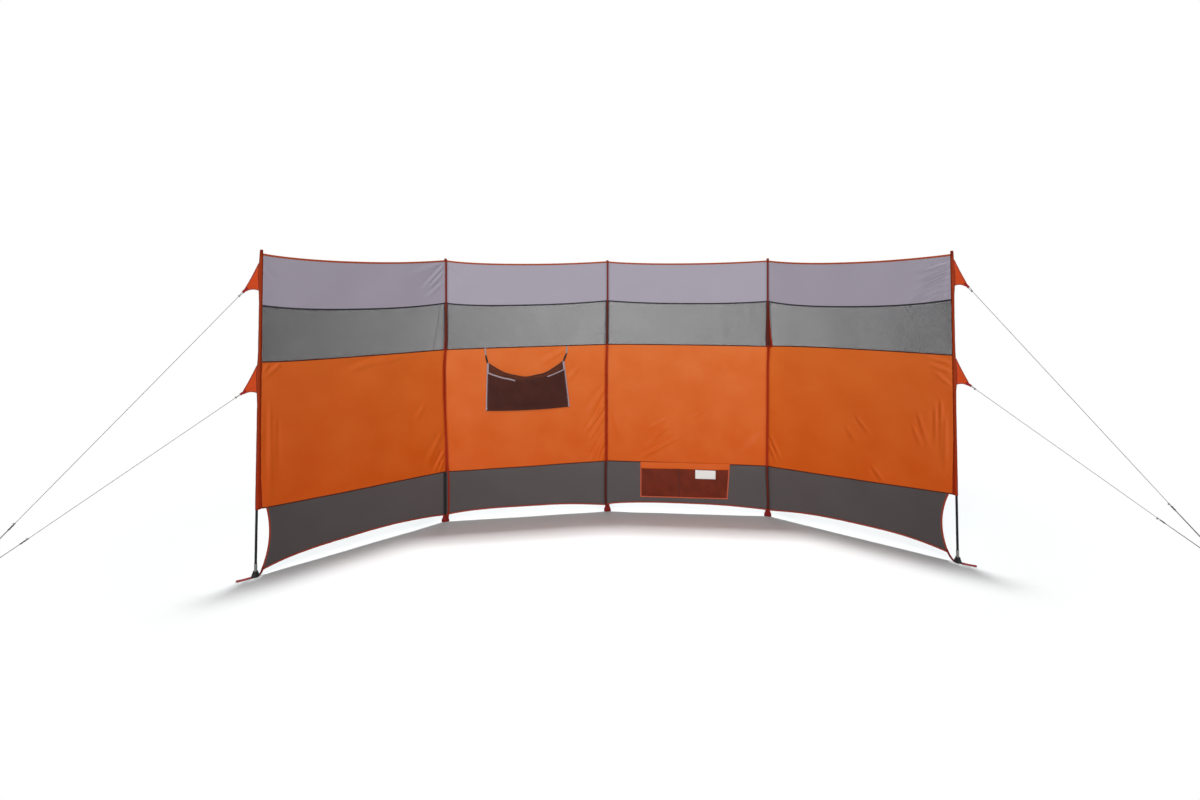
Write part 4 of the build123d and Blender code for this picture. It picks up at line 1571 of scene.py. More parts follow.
@dataclass
class Guys:
    """Tabs, webbing loops, cords and runners, two to every pole."""

    rig: Rig
    # heights of the upper and lower tabs, each pole's shifts of them, and where their cords meet the peg
    tab_bases: Pair = (1346 * MM, 868 * MM)
    base_shifts: Sequence[Pair] = (
        (-14 * MM, -14 * MM), (0.0, 0.0), (0.0, 0.0), (0.0, 0.0), (11 * MM, 2 * MM)
    )
    hitches: Pair = (28 * MM, 15 * MM)
    tab_height: float = 135 * MM
    tab_start: float = 6.6 * MM
    tab_tip: float = 68 * MM
    tab_thickness: float = 1.0 * MM
    tab_cells: tuple[int, int] = (25, 41)
    tip_rise: float = -5 * MM
    tip_height: float = 14 * MM
    pull_share: float = 0.4
    hollow: float = 8 * MM
    upper_hollow: float = 4 * MM
    ripple_depth: float = 1.5 * MM
    ripple_count: float = 9.0
    ripple_centre: float = 12 * MM
    hem_half: float = 2.6 * MM
    hem_thickness: float = 2.2 * MM
    hem_sides: int = 10
    hem_start: float = 0.06
    hem_steps: int = 20
    loop_length: float = 17 * MM
    loop_half_width: float = 5.5 * MM
    loop_overlap: float = 14 * MM
    ply: float = 1.3 * MM
    eye: float = 3.2 * MM
    cord: float = 1.5 * MM
    cord_eye_half: float = 10 * MM
    knot_distance: float = 26 * MM
    knot_size: float = 1.45 * MM
    knot_depth: float = 1.6
    knot_sides: int = 8
    peg_reach: float = 1250 * MM
    peg_lean: float = math.radians(15.0)
    peg_radius: float = 3 * MM
    leg_gap: float = 2.4 * MM
    tail_share: float = 0.8
    tail_gap: float = 3 * MM
    runner_distance: float = 320 * MM
    runner_length: float = 30 * MM
    runner_half: Pair = (6.5 * MM, 3.6 * MM)
    runner_waist: float = 0.2
    runner_end: float = 0.2
    runner_sides: int = 24

    def build(self) -> None:
        """Make the tabs, loops, cords and runners of every pole."""
        for pole, name in enumerate(POLES):
            cords, runners = [], []
            for row, tier in enumerate(Tier):
                label = f"{name}_{tier.value}"
                plane = self.tab_plane(pole, row)
                tip, pull, hitch = self.pull(plane, pole, row)
                self.put_tab(label, plane)
                loop = self.loop(plane, tip, pull)
                put(f"{label}_guy_loop", loop, RED_WEBBING, "red_webbing", ("guy_loops",))
                eye = tip + pull * (self.loop_length - self.eye)
                cords.append(self.guy_cord(eye, hitch, self.rig.guy_way(pole)))
                runners.append(self.runner(eye, hitch))
            put(f"{name}_guy_cords", Surface.joined(cords), GUY_CORD, "guy_cord", ("guy_lines",))
            put(f"{name}_runners", Surface.joined(runners), GREY_NYLON, "runner_plastic", ("line_runners",))

    def tab_middles(self) -> tuple[float, ...]:
        """Heights where the tabs pull on the sleeves."""
        return tuple(base + self.tab_height * self.pull_share for base in self.tab_bases)

    def tab_plane(self, pole: int, row: int) -> Plane:
        """Plane of a tab: x outwards along the pull, rise up the pole, front square to both.

        Args:
            pole: its number.
            row: 0 for its upper tab and 1 for its lower one.

        Returns:
            The plane.
        """
        axis = self.rig.pole_axis(pole)
        outward = np.cross(unit(np.cross(axis, self.rig.guy_way(pole))), axis)
        base = self.tab_bases[row] + self.base_shifts[pole][row]
        return Plane(self.rig.feet[pole] + axis * base, outward, np.cross(outward, axis), axis)

    def pull(self, plane: Plane, pole: int, row: int) -> tuple[Array, Array, Array]:
        """Where a tab is pulled, and which way.

        Args:
            plane: the tab's plane.
            pole: its number.
            row: 0 for its upper tab and 1 for its lower one.

        Returns:
            The tab's tip, the direction from it to the peg, and where the cord meets the peg.
        """
        height = self.hitches[row]
        shift = height * math.tan(self.peg_lean) - self.peg_radius - self.cord
        hitch = self.rig.feet[pole] + self.rig.guy_way(pole) * (self.peg_reach + shift) + UP * height
        tip = plane.place(self.tab_tip, self.tip_rise + self.tip_height / 2, 0.0)
        return tip, unit(hitch - tip), hitch

    def tab_edges(self, share: Array) -> tuple[Array, Array, Array]:
        """Outline of a tab: straight lines in to the tip, hollowed by a parabola, the upper by less.

        Args:
            share: places from the sleeve to the tip, from 0 to 1.

        Returns:
            Places out along the tab, and its lower and upper heights there.
        """
        lower = self.tip_rise * share + self.hollow * bow(share)
        tip_top = self.tip_rise + self.tip_height
        upper = between(self.tab_height, tip_top, share) - self.upper_hollow * bow(share)
        return between(self.tab_start, self.tab_tip, share), lower, upper

    def tab_relief(self, x: Array, z: Array) -> Array:
        """Ripples that fan out from the tip: a sine of the angle about it, highest midway.

        Args:
            x: places out along the tab.
            z: heights.

        Returns:
            A lift for each place.
        """
        middle = self.tip_rise + self.tip_height / 2
        angle = np.arctan2(z - middle, self.tab_tip + self.ripple_centre - x)
        away = np.clip((self.tab_tip - x) / (self.tab_tip - self.tab_start), 0.0, 1.0)
        return self.ripple_depth * np.sin(self.ripple_count * angle) * bow(away)

    def put_tab(self, label: str, plane: Plane) -> None:
        """Make a tab as a sheet between its edges, with a rolled hem along both.

        Args:
            label: start of its name.
            plane: its plane.
        """
        columns, rows = self.tab_cells
        x, lower, upper = self.tab_edges(shares(columns))
        z = between(lower, upper, shares(rows)[:, None])
        x = np.broadcast_to(x, z.shape)
        surface = plane.sheet(x, z, self.tab_relief(x, z))
        sheet = put(f"{label}_tab", surface, TAB_CLOTH, "tab_cloth", ("guy_tabs",), self.tab_thickness)
        out, *edges = self.tab_edges(np.linspace(self.hem_start, 1.0, self.hem_steps))
        paths = [paired(out, edge) for edge in edges]
        hems = [
            band(plane, path, self.hem_half, self.hem_thickness, self.tab_relief, sides=self.hem_sides)
            for path in paths
        ]
        hem = put(f"{label}_tab_hem", Surface.joined(hems), HEM_BINDING, "edge_binding")
        flat_area(x, z)

    def loop(self, plane: Plane, tip: Array, pull: Array) -> Surface:
        """A doubled webbing loop: out along one side of the tab, round an eye and back along the other.

        Args:
            plane: the tab's plane.
            tip: its tip.
            pull: direction of the cord.

        Returns:
            The surface.
        """
        gap = (self.tab_thickness + self.ply) / 2
        straight = np.linspace(-self.loop_overlap, self.loop_length - 3.0 * self.eye, 8)
        turn = np.linspace(0.5 * np.pi, -0.5 * np.pi, 15)
        eye_out = self.loop_length - self.eye + self.eye * np.cos(turn)
        out = np.concatenate([straight, eye_out, straight[::-1]])
        flat = np.full(straight.shape, gap)
        offset = np.concatenate([flat, self.eye * np.sin(turn), -flat])
        path = tip + out[:, None] * pull + offset[:, None] * plane.front
        side = unit(np.cross(pull, plane.front))
        normal = np.cross(unit(np.gradient(path, axis=0)), side)[:, None]
        across, through = (part[:, None] for part in strap_section())
        points = path[:, None] + self.loop_half_width * across * side + self.ply / 2 * through * normal
        return ringed(points, path, np.append(across, across[0]))

    def guy_cord(self, eye: Array, hitch: Array, way: Array) -> Surface:
        """A taut cord: an eye through the webbing, a knot, the run, and a bight round the peg to the runner.

        The eye is the teardrop 1 - cos p along and sin p times cos(p / 2) across.

        Args:
            eye: middle of the webbing's eye.
            hitch: where the run meets the peg.
            way: level direction to the peg.

        Returns:
            The surface of all its parts.
        """
        ahead = unit(hitch - eye)
        side = unit(np.cross(ahead, UP))
        over = np.cross(side, ahead)
        turn = np.linspace(-np.pi, np.pi, 41)[:, None]
        along = self.knot_distance / 2 * (1.0 - np.cos(turn))
        across = self.cord_eye_half * np.sin(turn) * np.cos(turn / 2)
        ring = eye + along * ahead + across * side
        first_knot = eye + ahead * self.knot_distance
        runner = hitch - ahead * (self.runner_distance + self.runner_length / 2)
        run = np.linspace(first_knot, runner, 60)
        reach = self.peg_radius + self.cord
        wrap = np.linspace(0.5 * np.pi, -0.5 * np.pi, 17)[:, None]
        bend = hitch + way * reach + reach * (np.sin(wrap) * side + np.cos(wrap) * way)
        legs = shares(24)[:, None]
        down = between(runner + self.leg_gap * side, bend[0], legs)
        upward = between(bend[-1], runner - self.leg_gap * side, legs)
        bight = np.concatenate([down[:-1], bend, upward[1:]])
        tail_knot = runner - ahead * self.runner_length * self.tail_share - side * self.tail_gap
        cords = [tube(ring, self.cord, over), tube(bight, self.cord, over), tube(run, self.cord, side)]
        knots = [self.knot(place, side, over, ahead) for place in (first_knot, tail_knot)]
        return Surface.joined(cords + knots)

    def knot(self, centre: Array, side: Array, over: Array, ahead: Array) -> Surface:
        """A tight knot: a cord along a small trefoil, 2 + cos 3 p round 2 p, with sin 3 p through it.

        Args:
            centre: its middle.
            side: first direction across the cord.
            over: second direction across it.
            ahead: direction along it.

        Returns:
            The surface.
        """
        turn = np.linspace(0.0, 2.0 * np.pi, 72)[:, None]
        across = (2.0 + np.cos(3.0 * turn)) * (np.cos(2.0 * turn) * side + np.sin(2.0 * turn) * over)
        path = across + self.knot_depth * np.sin(3.0 * turn) * ahead
        return tube(centre + self.knot_size * path, self.cord, ahead, self.knot_sides)

    def runner(self, eye: Array, hitch: Array) -> Surface:
        """A flat slide on the cord: an oval, waisted in the middle and rounded off at the ends.

        Its scale is the root of 1 - |s|^8, times 1 less the waist times the square of cos(s quarter turns).

        Args:
            eye: middle of the webbing's eye.
            hitch: where the cord meets the peg.

        Returns:
            The surface.
        """
        ahead = unit(hitch - eye)
        side = unit(np.cross(ahead, UP))
        share = np.linspace(-1.0, 1.0, 33)
        scale = (1.0 - np.abs(share) ** 8) ** 0.5
        scale = scale * (1.0 - self.runner_waist * np.cos(0.5 * np.pi * share) ** 2)
        profile = paired(np.maximum(scale, self.runner_end), share * self.runner_length / 2)
        middle = hitch - ahead * (self.runner_distance + self.runner_length / 2)
        axes = (side, np.cross(side, ahead), ahead)
        return turned(profile, circle(self.runner_sides) * self.runner_half, middle, axes)


# Feet


@dataclass
class Feet:
    """Webbing cups under the middle poles, and straps with moulded feet under the end poles."""

    rig: Rig
    bays: Sequence[Bay]
    hub: float = 0.05
    cup_half: Pair = (16 * MM, 13 * MM)
    cup_height: float = 37 * MM
    cup_wall: float = 2 * MM
    cup_floor: float = 3 * MM
    cup_fillet: Pair = (1 * MM, 4 * MM)
    # the cup's section up its inside and down its outside: share of its half size and share of its height
    cup_inside: Sequence[Pair] = ((0.9, 0.5), (0.78, 0.8), (0.72, 0.97), (0.74, 1.0))
    cup_outside: Sequence[Pair] = (
        (0.74, 1.0), (0.79, 0.96), (0.84, 0.78), (0.95, 0.62),
        (1.12, 0.4), (1.3, 0.2), (1.32, 0.07), (1.2, 0.0),
    )
    strap_half: float = 9.5 * MM
    strap_thickness: float = 2 * MM
    strap_tail: float = 78 * MM
    strap_inner: float = 17 * MM
    strap_corner: float = 8.5 * MM
    eyelet: float = 4 * MM
    eyelet_distance: float = 60 * MM
    eyelet_swell: float = 0.3 * MM
    eyelet_swell_width: float = 2.5 * MM
    tail_start: float = 30 * MM
    tail_rise: float = 4 * MM
    riser_half: float = 5 * MM
    riser_foot: float = 16 * MM
    riser_low: float = 4.6 * MM
    riser_overlap: float = 14 * MM
    riser_lift: float = 1.5 * MM
    riser_bow: float = 3 * MM
    riser_power: float = 0.7
    foot_low: float = 2 * MM
    foot_floor: float = 7 * MM
    foot_top: float = 27 * MM
    hub_radius: float = 1 * MM
    base_radius: float = 17 * MM
    boss_radius: float = 10.5 * MM
    bore_radius: float = 6 * MM
    # the foot's section in millimetres: past the base's radius and over its underside, or over its floor;
    # past the boss's radius and over the floor, or over the top, with the ribs' swelling
    base_section: Sequence[Pair] = ((-1, 0), (0, 1))
    floor_section: Sequence[Pair] = ((0, -2), (-1.5, 0))
    flare_section: Sequence[Triple] = ((5, 0.8, 3), (2, 4, 4.5), (0.6, 9, 3.5))
    boss_section: Sequence[Triple] = (
        (-0.4, -6, 1.5), (0.6, -5, 0), (0.6, -1, 0), (-0.6, 0, 0)
    )
    ribs: int = 6
    rib_power: int = 3

    def build(self) -> None:
        """Make the cups, straps and moulded feet."""
        straps = ("end_foot_straps",)
        for pole in MIDDLE_POLES:
            put(f"{POLES[pole]}_foot_cup", self.cup(pole), STRAP_WEBBING, "red_webbing", ("foot_pockets",))
        for pole in END_POLES:
            name, flat = POLES[pole], self.strap(pole)
            put(f"{name}_foot_strap", flat, STRAP_WEBBING, "red_webbing", straps, self.strap_thickness)
            put(f"{name}_strap_riser", self.riser(pole), STRAP_WEBBING, "red_webbing", straps)
            put(f"{name}_moulded_foot", self.moulded_foot(pole), BLACK_NYLON, "foot_plastic", ("end_feet",))

    def cup(self, pole: int) -> Surface:
        """A soft cup: a rounded rectangle, |x|^4 + |y|^4 = 1, carried up its inside and down its outside.

        Args:
            pole: its number.

        Returns:
            The surface.
        """
        plan = circle(56)
        outline = np.sign(plan) * np.abs(plan) ** 0.5 * np.array(self.cup_half)
        inner = 1.0 - self.cup_wall / self.cup_half[1]
        floor, (low, high) = self.cup_floor, self.cup_fillet
        bottom = np.array([(0.7, floor), (0.9, floor + low), (0.98, floor + high)]) * (inner, 1.0)
        inside = np.array(self.cup_inside) * (inner, self.cup_height)
        outside = np.array(self.cup_outside) * (1.0, self.cup_height)
        profile = np.concatenate([[(self.hub, floor)], bottom, inside, outside, [(self.hub, 0.0)]])
        rig = self.rig
        return turned(profile, outline, rig.feet[pole], (rig.along[pole], rig.back[pole], UP))

    def strap(self, pole: int) -> Surface:
        """A strap flat on the ground: straight lines from the rim of its round eyelet to its outline.

        The outline is a rectangle with round outer corners, its points spread evenly. The rim swells as
        exp(-d^2), and the tail rises as a parabola.

        Args:
            pole: its number.

        Returns:
            The surface.
        """
        outward = self.rig.along[pole] * -self.rig.inward(pole)
        side = np.cross(UP, outward)
        arc = np.linspace(0.0, 0.5 * np.pi, 9)
        centre = np.array((self.strap_tail, self.strap_half)) - self.strap_corner
        corner = centre + self.strap_corner * paired(np.sin(arc), np.cos(arc))
        half = np.concatenate([[(-self.strap_inner, self.strap_half)], corner])
        border = np.concatenate([half, half[::-1] * (1.0, -1.0), half[:1]])
        lengths = run_lengths(border)
        marks = np.linspace(0.0, lengths[-1], 160, endpoint=False)
        outline = np.stack([np.interp(marks, lengths, column) for column in border.T], -1)
        hole = np.array((self.eyelet_distance, 0.0))
        rim = hole + self.eyelet * unit(outline - hole)
        plan = between(rim, outline, shares(9)[:, None, None] ** 1.4)
        swell = bell(np.linalg.norm(plan - hole, axis=-1) - self.eyelet, self.eyelet_swell_width)
        tail = np.clip((plan[..., 0] - self.tail_start) / (self.strap_tail - self.tail_start), 0.0, 1.0)
        height = self.strap_thickness / 2 + self.eyelet_swell * swell + self.tail_rise * tail**2
        points = Plane(self.rig.feet[pole], outward, UP, side).place(plan[..., 0], plan[..., 1], height)
        places = plan / (1.0, self.strap_half)
        return grid(points, np.concatenate([places, places[:, :1]], axis=1), Form.TUBE)

    def riser(self, pole: int) -> Surface:
        """The strap's inner end, turned up to the skirt's corner on a curve that carries on its side.

        Args:
            pole: its number.

        Returns:
            The surface.
        """
        bay = self.bays[-END_POLES.index(pole)]
        share = shares(30)
        top = self.rig.lines[Edge.HEM].at_pole(pole) + self.riser_overlap
        inset = between(self.riser_foot, bay.end_inset(top, True), share**self.riser_power)
        x = inset if pole == END_POLES[0] else bay.span - inset
        z = between(self.riser_low, top, share)
        swing = self.riser_lift + self.riser_bow * np.sin(np.pi * share)

        def forward(x_at: Array, z_at: Array) -> Array:
            """How far the riser stands in front of the cloth at each height."""
            return np.interp(z_at, z, swing)

        return band(bay.plane, paired(x, z), self.riser_half, self.strap_thickness, forward)

    def moulded_foot(self, pole: int) -> Surface:
        """A flared foot: a disc, six ribs that swell out of the flare, and a boss with a blind bore.

        A rib swells as the cube of cos 6 t round the foot, where that is above zero.

        Args:
            pole: its number.

        Returns:
            The surface.
        """
        disc = np.array((self.base_radius, self.foot_low)) + np.array(self.base_section) * MM
        floor = np.array((self.base_radius, self.foot_floor)) + np.array(self.floor_section) * MM
        flare = np.array((self.boss_radius, self.foot_floor, 0.0)) + np.array(self.flare_section) * MM
        boss = np.array((self.boss_radius, self.foot_top, 0.0)) + np.array(self.boss_section) * MM
        bore = [(self.bore_radius, self.foot_top), (self.bore_radius, self.foot_floor)]
        ends = [(self.hub_radius, self.foot_low)], [(self.hub_radius, self.foot_floor)]
        plain = [np.pad(rows, ((0, 0), (0, 1))) for rows in (ends[0], disc, floor, bore, ends[1])]
        reach, height, swell = np.concatenate([*plain[:3], flare, boss, *plain[3:]]).T
        lobes = np.clip(np.cos(self.ribs * full_turn(96)), 0.0, 1.0) ** self.rib_power
        outline = circle(96) * (reach[:, None] + swell[:, None] * lobes)[..., None]
        rows = paired(np.ones(len(reach)), height)
        return turned(rows, outline, self.rig.feet[pole], np.eye(3))


# Pockets


@dataclass
class HangingPocket:
    """The mesh pocket that hangs from the window seam of the left bay."""

    bay: Bay
    left: Pair = (229 * MM, 236 * MM)
    right: Pair = (712 * MM, 679 * MM)
    bottom: Pair = (636 * MM, 645 * MM)
    bottom_sag: float = 8 * MM
    top: Pair = (913 * MM, 918 * MM)
    top_sag: float = 88 * MM
    top_frill: float = 2 * MM
    mouth: Pair = (856 * MM, 868 * MM)
    mouth_sag: float = 52 * MM
    mouth_frill: float = 1.5 * MM
    mouth_dip: float = 9 * MM
    dip_share: float = 0.38
    dip_width: float = 0.07
    frill_turns: float = 23.0
    back_lift: float = 5 * MM
    front_lift: float = 7 * MM
    bulge: float = 15 * MM
    bulge_power: float = 0.7
    bulge_low: float = 0.3
    bulge_start: float = 1 / 6
    fan_drop: float = 20 * MM
    fan_folds: float = 5.0
    # depth of the creases, and metres to a radian along and up, on the back and on the front
    back_creases: Triple = (1.2 * MM, 21 * MM, 34 * MM)
    back_crease_rise: float = 200 * MM
    front_creases: Triple = (2.6 * MM, 19 * MM, -50 * MM)
    columns: int = 81
    back_rows: int = 46
    front_rows: int = 38
    thickness: float = 0.8 * MM
    binding_half: float = 6 * MM
    binding_thickness: float = 3 * MM
    binding_ends: Pair = (-3 * MM, 2 * MM)
    piping_half: float = 1.8 * MM
    piping_inset: float = 7.44 * MM
    piping_share: float = 0.9
    top_half: float = 2.8 * MM
    bottom_half: float = 3.0 * MM
    loop_half: float = 4.5 * MM
    loop_thickness: float = 2.4 * MM
    loop_lift: float = 2.5 * MM
    loop_swell: float = 1.5 * MM
    toggle_radius: float = 5.2 * MM
    toggle_lift: float = 2 * MM
    toggle_ends: Pair = (6 * MM, -4 * MM)
    toggle_span: Pair = (0.06, 0.94)
    # x and z of the seam, the hook and the pocket's corner that each hanger joins
    hanger_places: Mapping[str, Sequence[Pair]] = field(
        default_factory=lambda: {
            "left": ((220 * MM, 1000 * MM), (223 * MM, 953 * MM), (233 * MM, 915 * MM)),
            "right": ((701 * MM, 1004 * MM), (698 * MM, 957 * MM), (678 * MM, 918 * MM)),
        }
    )

    def build(self) -> None:
        """Make the two sheets, their bindings, and the loops and toggles that hang the pocket."""
        share, plane = shares(self.columns), self.bay.plane
        mouth = self.edge(self.mouth, self.mouth_sag, share, self.mouth_frill, self.mouth_dip)
        back_top = self.edge(self.top, self.top_sag, share, self.top_frill)
        bottom = self.edge(self.bottom, self.bottom_sag, share)
        sheets = []
        for word, top, relief, rows, net in (
            ("back", back_top, self.back_relief, self.back_rows, POCKET_BACK_NET),
            ("front", mouth, self.front_relief, self.front_rows, HANGING_NET),
        ):
            z = between(bottom, top, shares(rows)[:, None])
            x = self.across(z, share)
            node = f"hanging_pocket_{word}"
            surface = plane.sheet(x, z, relief(x, z))
            sheets.append((put(f"{node}_net", surface, net, "pocket_mesh", (node,), self.thickness), x, z))
        trims = {
            word: put(
                f"hanging_pocket_{word}",
                band(plane, path, half, self.binding_thickness, relief),
                finish,
                "pocket_binding",
                ("hanging_pocket_bindings",),
            )
            for word, path, relief, half, finish in self.trims(share, mouth, back_top, bottom)
        }
        mouths = [piece for word, piece in trims.items() if "mouth" in word]
        others = [piece for word, piece in trims.items() if "mouth" not in word]
        for (sheet, x, z), on_it in zip(sheets, (others + self.hangers(), mouths)):
            float(np.ptp(x))
            float(np.ptp(z))
            flat_area(x, z)
            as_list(on_it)

    def edge(
        self, ends: Pair, sag: float, share: Array, frill: float = 0.0, dip: float = 0.0
    ) -> Array:
        """Height of a slack edge: a parabola's sag under the line between its ends, with a frill and a dip.

        Args:
            ends: its heights at the left and right.
            sag: how far it hangs in the middle.
            share: places along it from 0 to 1.
            frill: height of its waves.
            dip: how far it is drawn down at one place.

        Returns:
            A height for each place.
        """
        drawn = dip * bell(share - self.dip_share, self.dip_width)
        waves = frill * np.sin(self.frill_turns * share) * np.sin(np.pi * share)
        return between(*ends, share) - sag * bow(share) - drawn + waves

    def side_lines(self, z: Array) -> tuple[Array, Array]:
        """x of the pocket's left and right sides at each height."""
        share = (z - self.bottom[0]) / (self.top[0] - self.bottom[0])
        return between(*self.left, share), between(*self.right, share)

    def across(self, z: Array, share: Array) -> Array:
        """x at a share of the way across the pocket at each height."""
        return between(*self.side_lines(z), share)

    def back_relief(self, x: Array, z: Array) -> Array:
        """The back hangs just off the cloth, with slanting sines for creases that grow upwards.

        Args:
            x: places along the bay.
            z: heights.

        Returns:
            A lift for each place.
        """
        depth, run, rise = self.back_creases
        grown = np.clip((z - self.bottom[0]) / self.back_crease_rise, 0.0, 1.0)
        return self.back_lift + depth * np.sin(x / run + z / rise) * grown

    def front_relief(self, x: Array, z: Array) -> Array:
        """The front bellies out towards its slack mouth: a half wave across, growing with the height.

        Slanting sines, times a sine of the angle about the mouth's dip, are its creases.

        Args:
            x: places along the bay.
            z: heights.

        Returns:
            A lift for each place.
        """
        left, right = self.side_lines(z)
        across = np.sin(np.pi * np.clip((x - left) / (right - left), 0.0, 1.0)) ** self.bulge_power
        grown = np.clip((z - self.bottom[0]) / (self.mouth[0] - self.bottom[0]), 0.0, 1.0)
        fan = np.arctan2(z - self.mouth[0] + self.fan_drop, x - between(left, right, self.dip_share))
        depth, run, rise = self.front_creases
        folds = depth * np.sin(x / run + z / rise) * np.sin(self.fan_folds * fan) * grown * across
        swollen = between(self.bulge_low, 1.0, grown) * np.clip(grown / self.bulge_start, 0.0, 1.0)
        return self.front_lift + self.bulge * across * swollen + folds

    def side_relief(self, x: Array, z: Array) -> Array:
        """The sides and bottom lie between the two sheets."""
        return np.full(np.broadcast(x, z).shape, (self.back_lift + self.front_lift) / 2)

    def trims(
        self, share: Array, mouth: Array, back_top: Array, bottom: Array
    ) -> list[tuple[str, Array, Relief, float, Finish]]:
        """The pocket's bindings and piping.

        Args:
            share: places across from 0 to 1.
            mouth: heights of the mouth there.
            back_top: heights of the back's top edge there.
            bottom: heights of the bottom edge there.

        Returns:
            Name, path, relief, half width and finish of each.
        """
        listed = []
        for side, (word, inward) in enumerate((("left", 1.0), ("right", -1.0))):
            low, high = (ends[side] + past for ends, past in zip((self.bottom, self.top), self.binding_ends))
            z = np.linspace(low, high, 40)
            x = self.side_lines(z)[side]
            outer, half = paired(x, z), self.binding_half
            listed.append((f"{word}_binding", outer, self.side_relief, half, GREY_BINDING))
            inner = paired(x + inward * self.piping_inset, between(low, z, self.piping_share))
            listed.append((f"{word}_piping", inner, self.side_relief, self.piping_half, DARK_BINDING))
        lip, top, foot = (paired(self.across(z, share), z) for z in (mouth, back_top, bottom))
        # the mouth's piping is drawn dark in the middle and grey at either side
        for word, first, last, half, finish in (
            ("left_mouth", 0, 29, 4.4 * MM, GREY_BINDING),
            ("middle_mouth", 28, 62, 2.4 * MM, DARK_BINDING),
            ("right_mouth", 61, len(share), 3.4 * MM, GREY_BINDING),
        ):
            listed.append((word, lip[first:last], self.front_relief, half, finish))
        listed.append(("top_binding", top, self.back_relief, self.top_half, DARK_BINDING))
        listed.append(("bottom_binding", foot, self.side_relief, self.bottom_half, DARK_BINDING))
        return listed

    def hangers(self) -> list[bpy.types.Object]:
        """A grey webbing loop on the seam and a black toggle at each upper corner.

        Returns:
            The objects.
        """
        made, plane = [], self.bay.plane
        for word, (seam, hook, corner) in self.hanger_places.items():
            bow_at = float(self.bay.relief(*seam)) + self.loop_lift

            def forward(x_at: Array, z_at: Array) -> Array:
                """The loop lies in front of the tape and swells a little towards its lower end."""
                return bow_at + self.loop_swell * np.clip((seam[1] - z_at) / (seam[1] - hook[1]), 0.0, 1.0)

            loop = band(plane, np.linspace(seam, hook, 14), self.loop_half, self.loop_thickness, forward)
            name = f"hanging_pocket_{word}"
            made.append(put(f"{name}_loop", loop, GREY_WEBBING, "strap_tape", ("hanging_pocket_straps",)))
            (x_top, z_top), (x_low, z_low) = hook, corner
            z = np.linspace(z_top + self.toggle_ends[0], z_low + self.toggle_ends[1], 20)
            points = plane.place(np.linspace(x_top, x_low, 20), z, self.back_lift + self.toggle_lift)
            swell = np.sin(np.linspace(*self.toggle_span, 20) * np.pi) ** 0.5
            toggle = tube(points, self.toggle_radius * swell, plane.front, 16)
            made.append(put(f"{name}_toggle", toggle, BLACK_NYLON, "runner_plastic"))
        return made


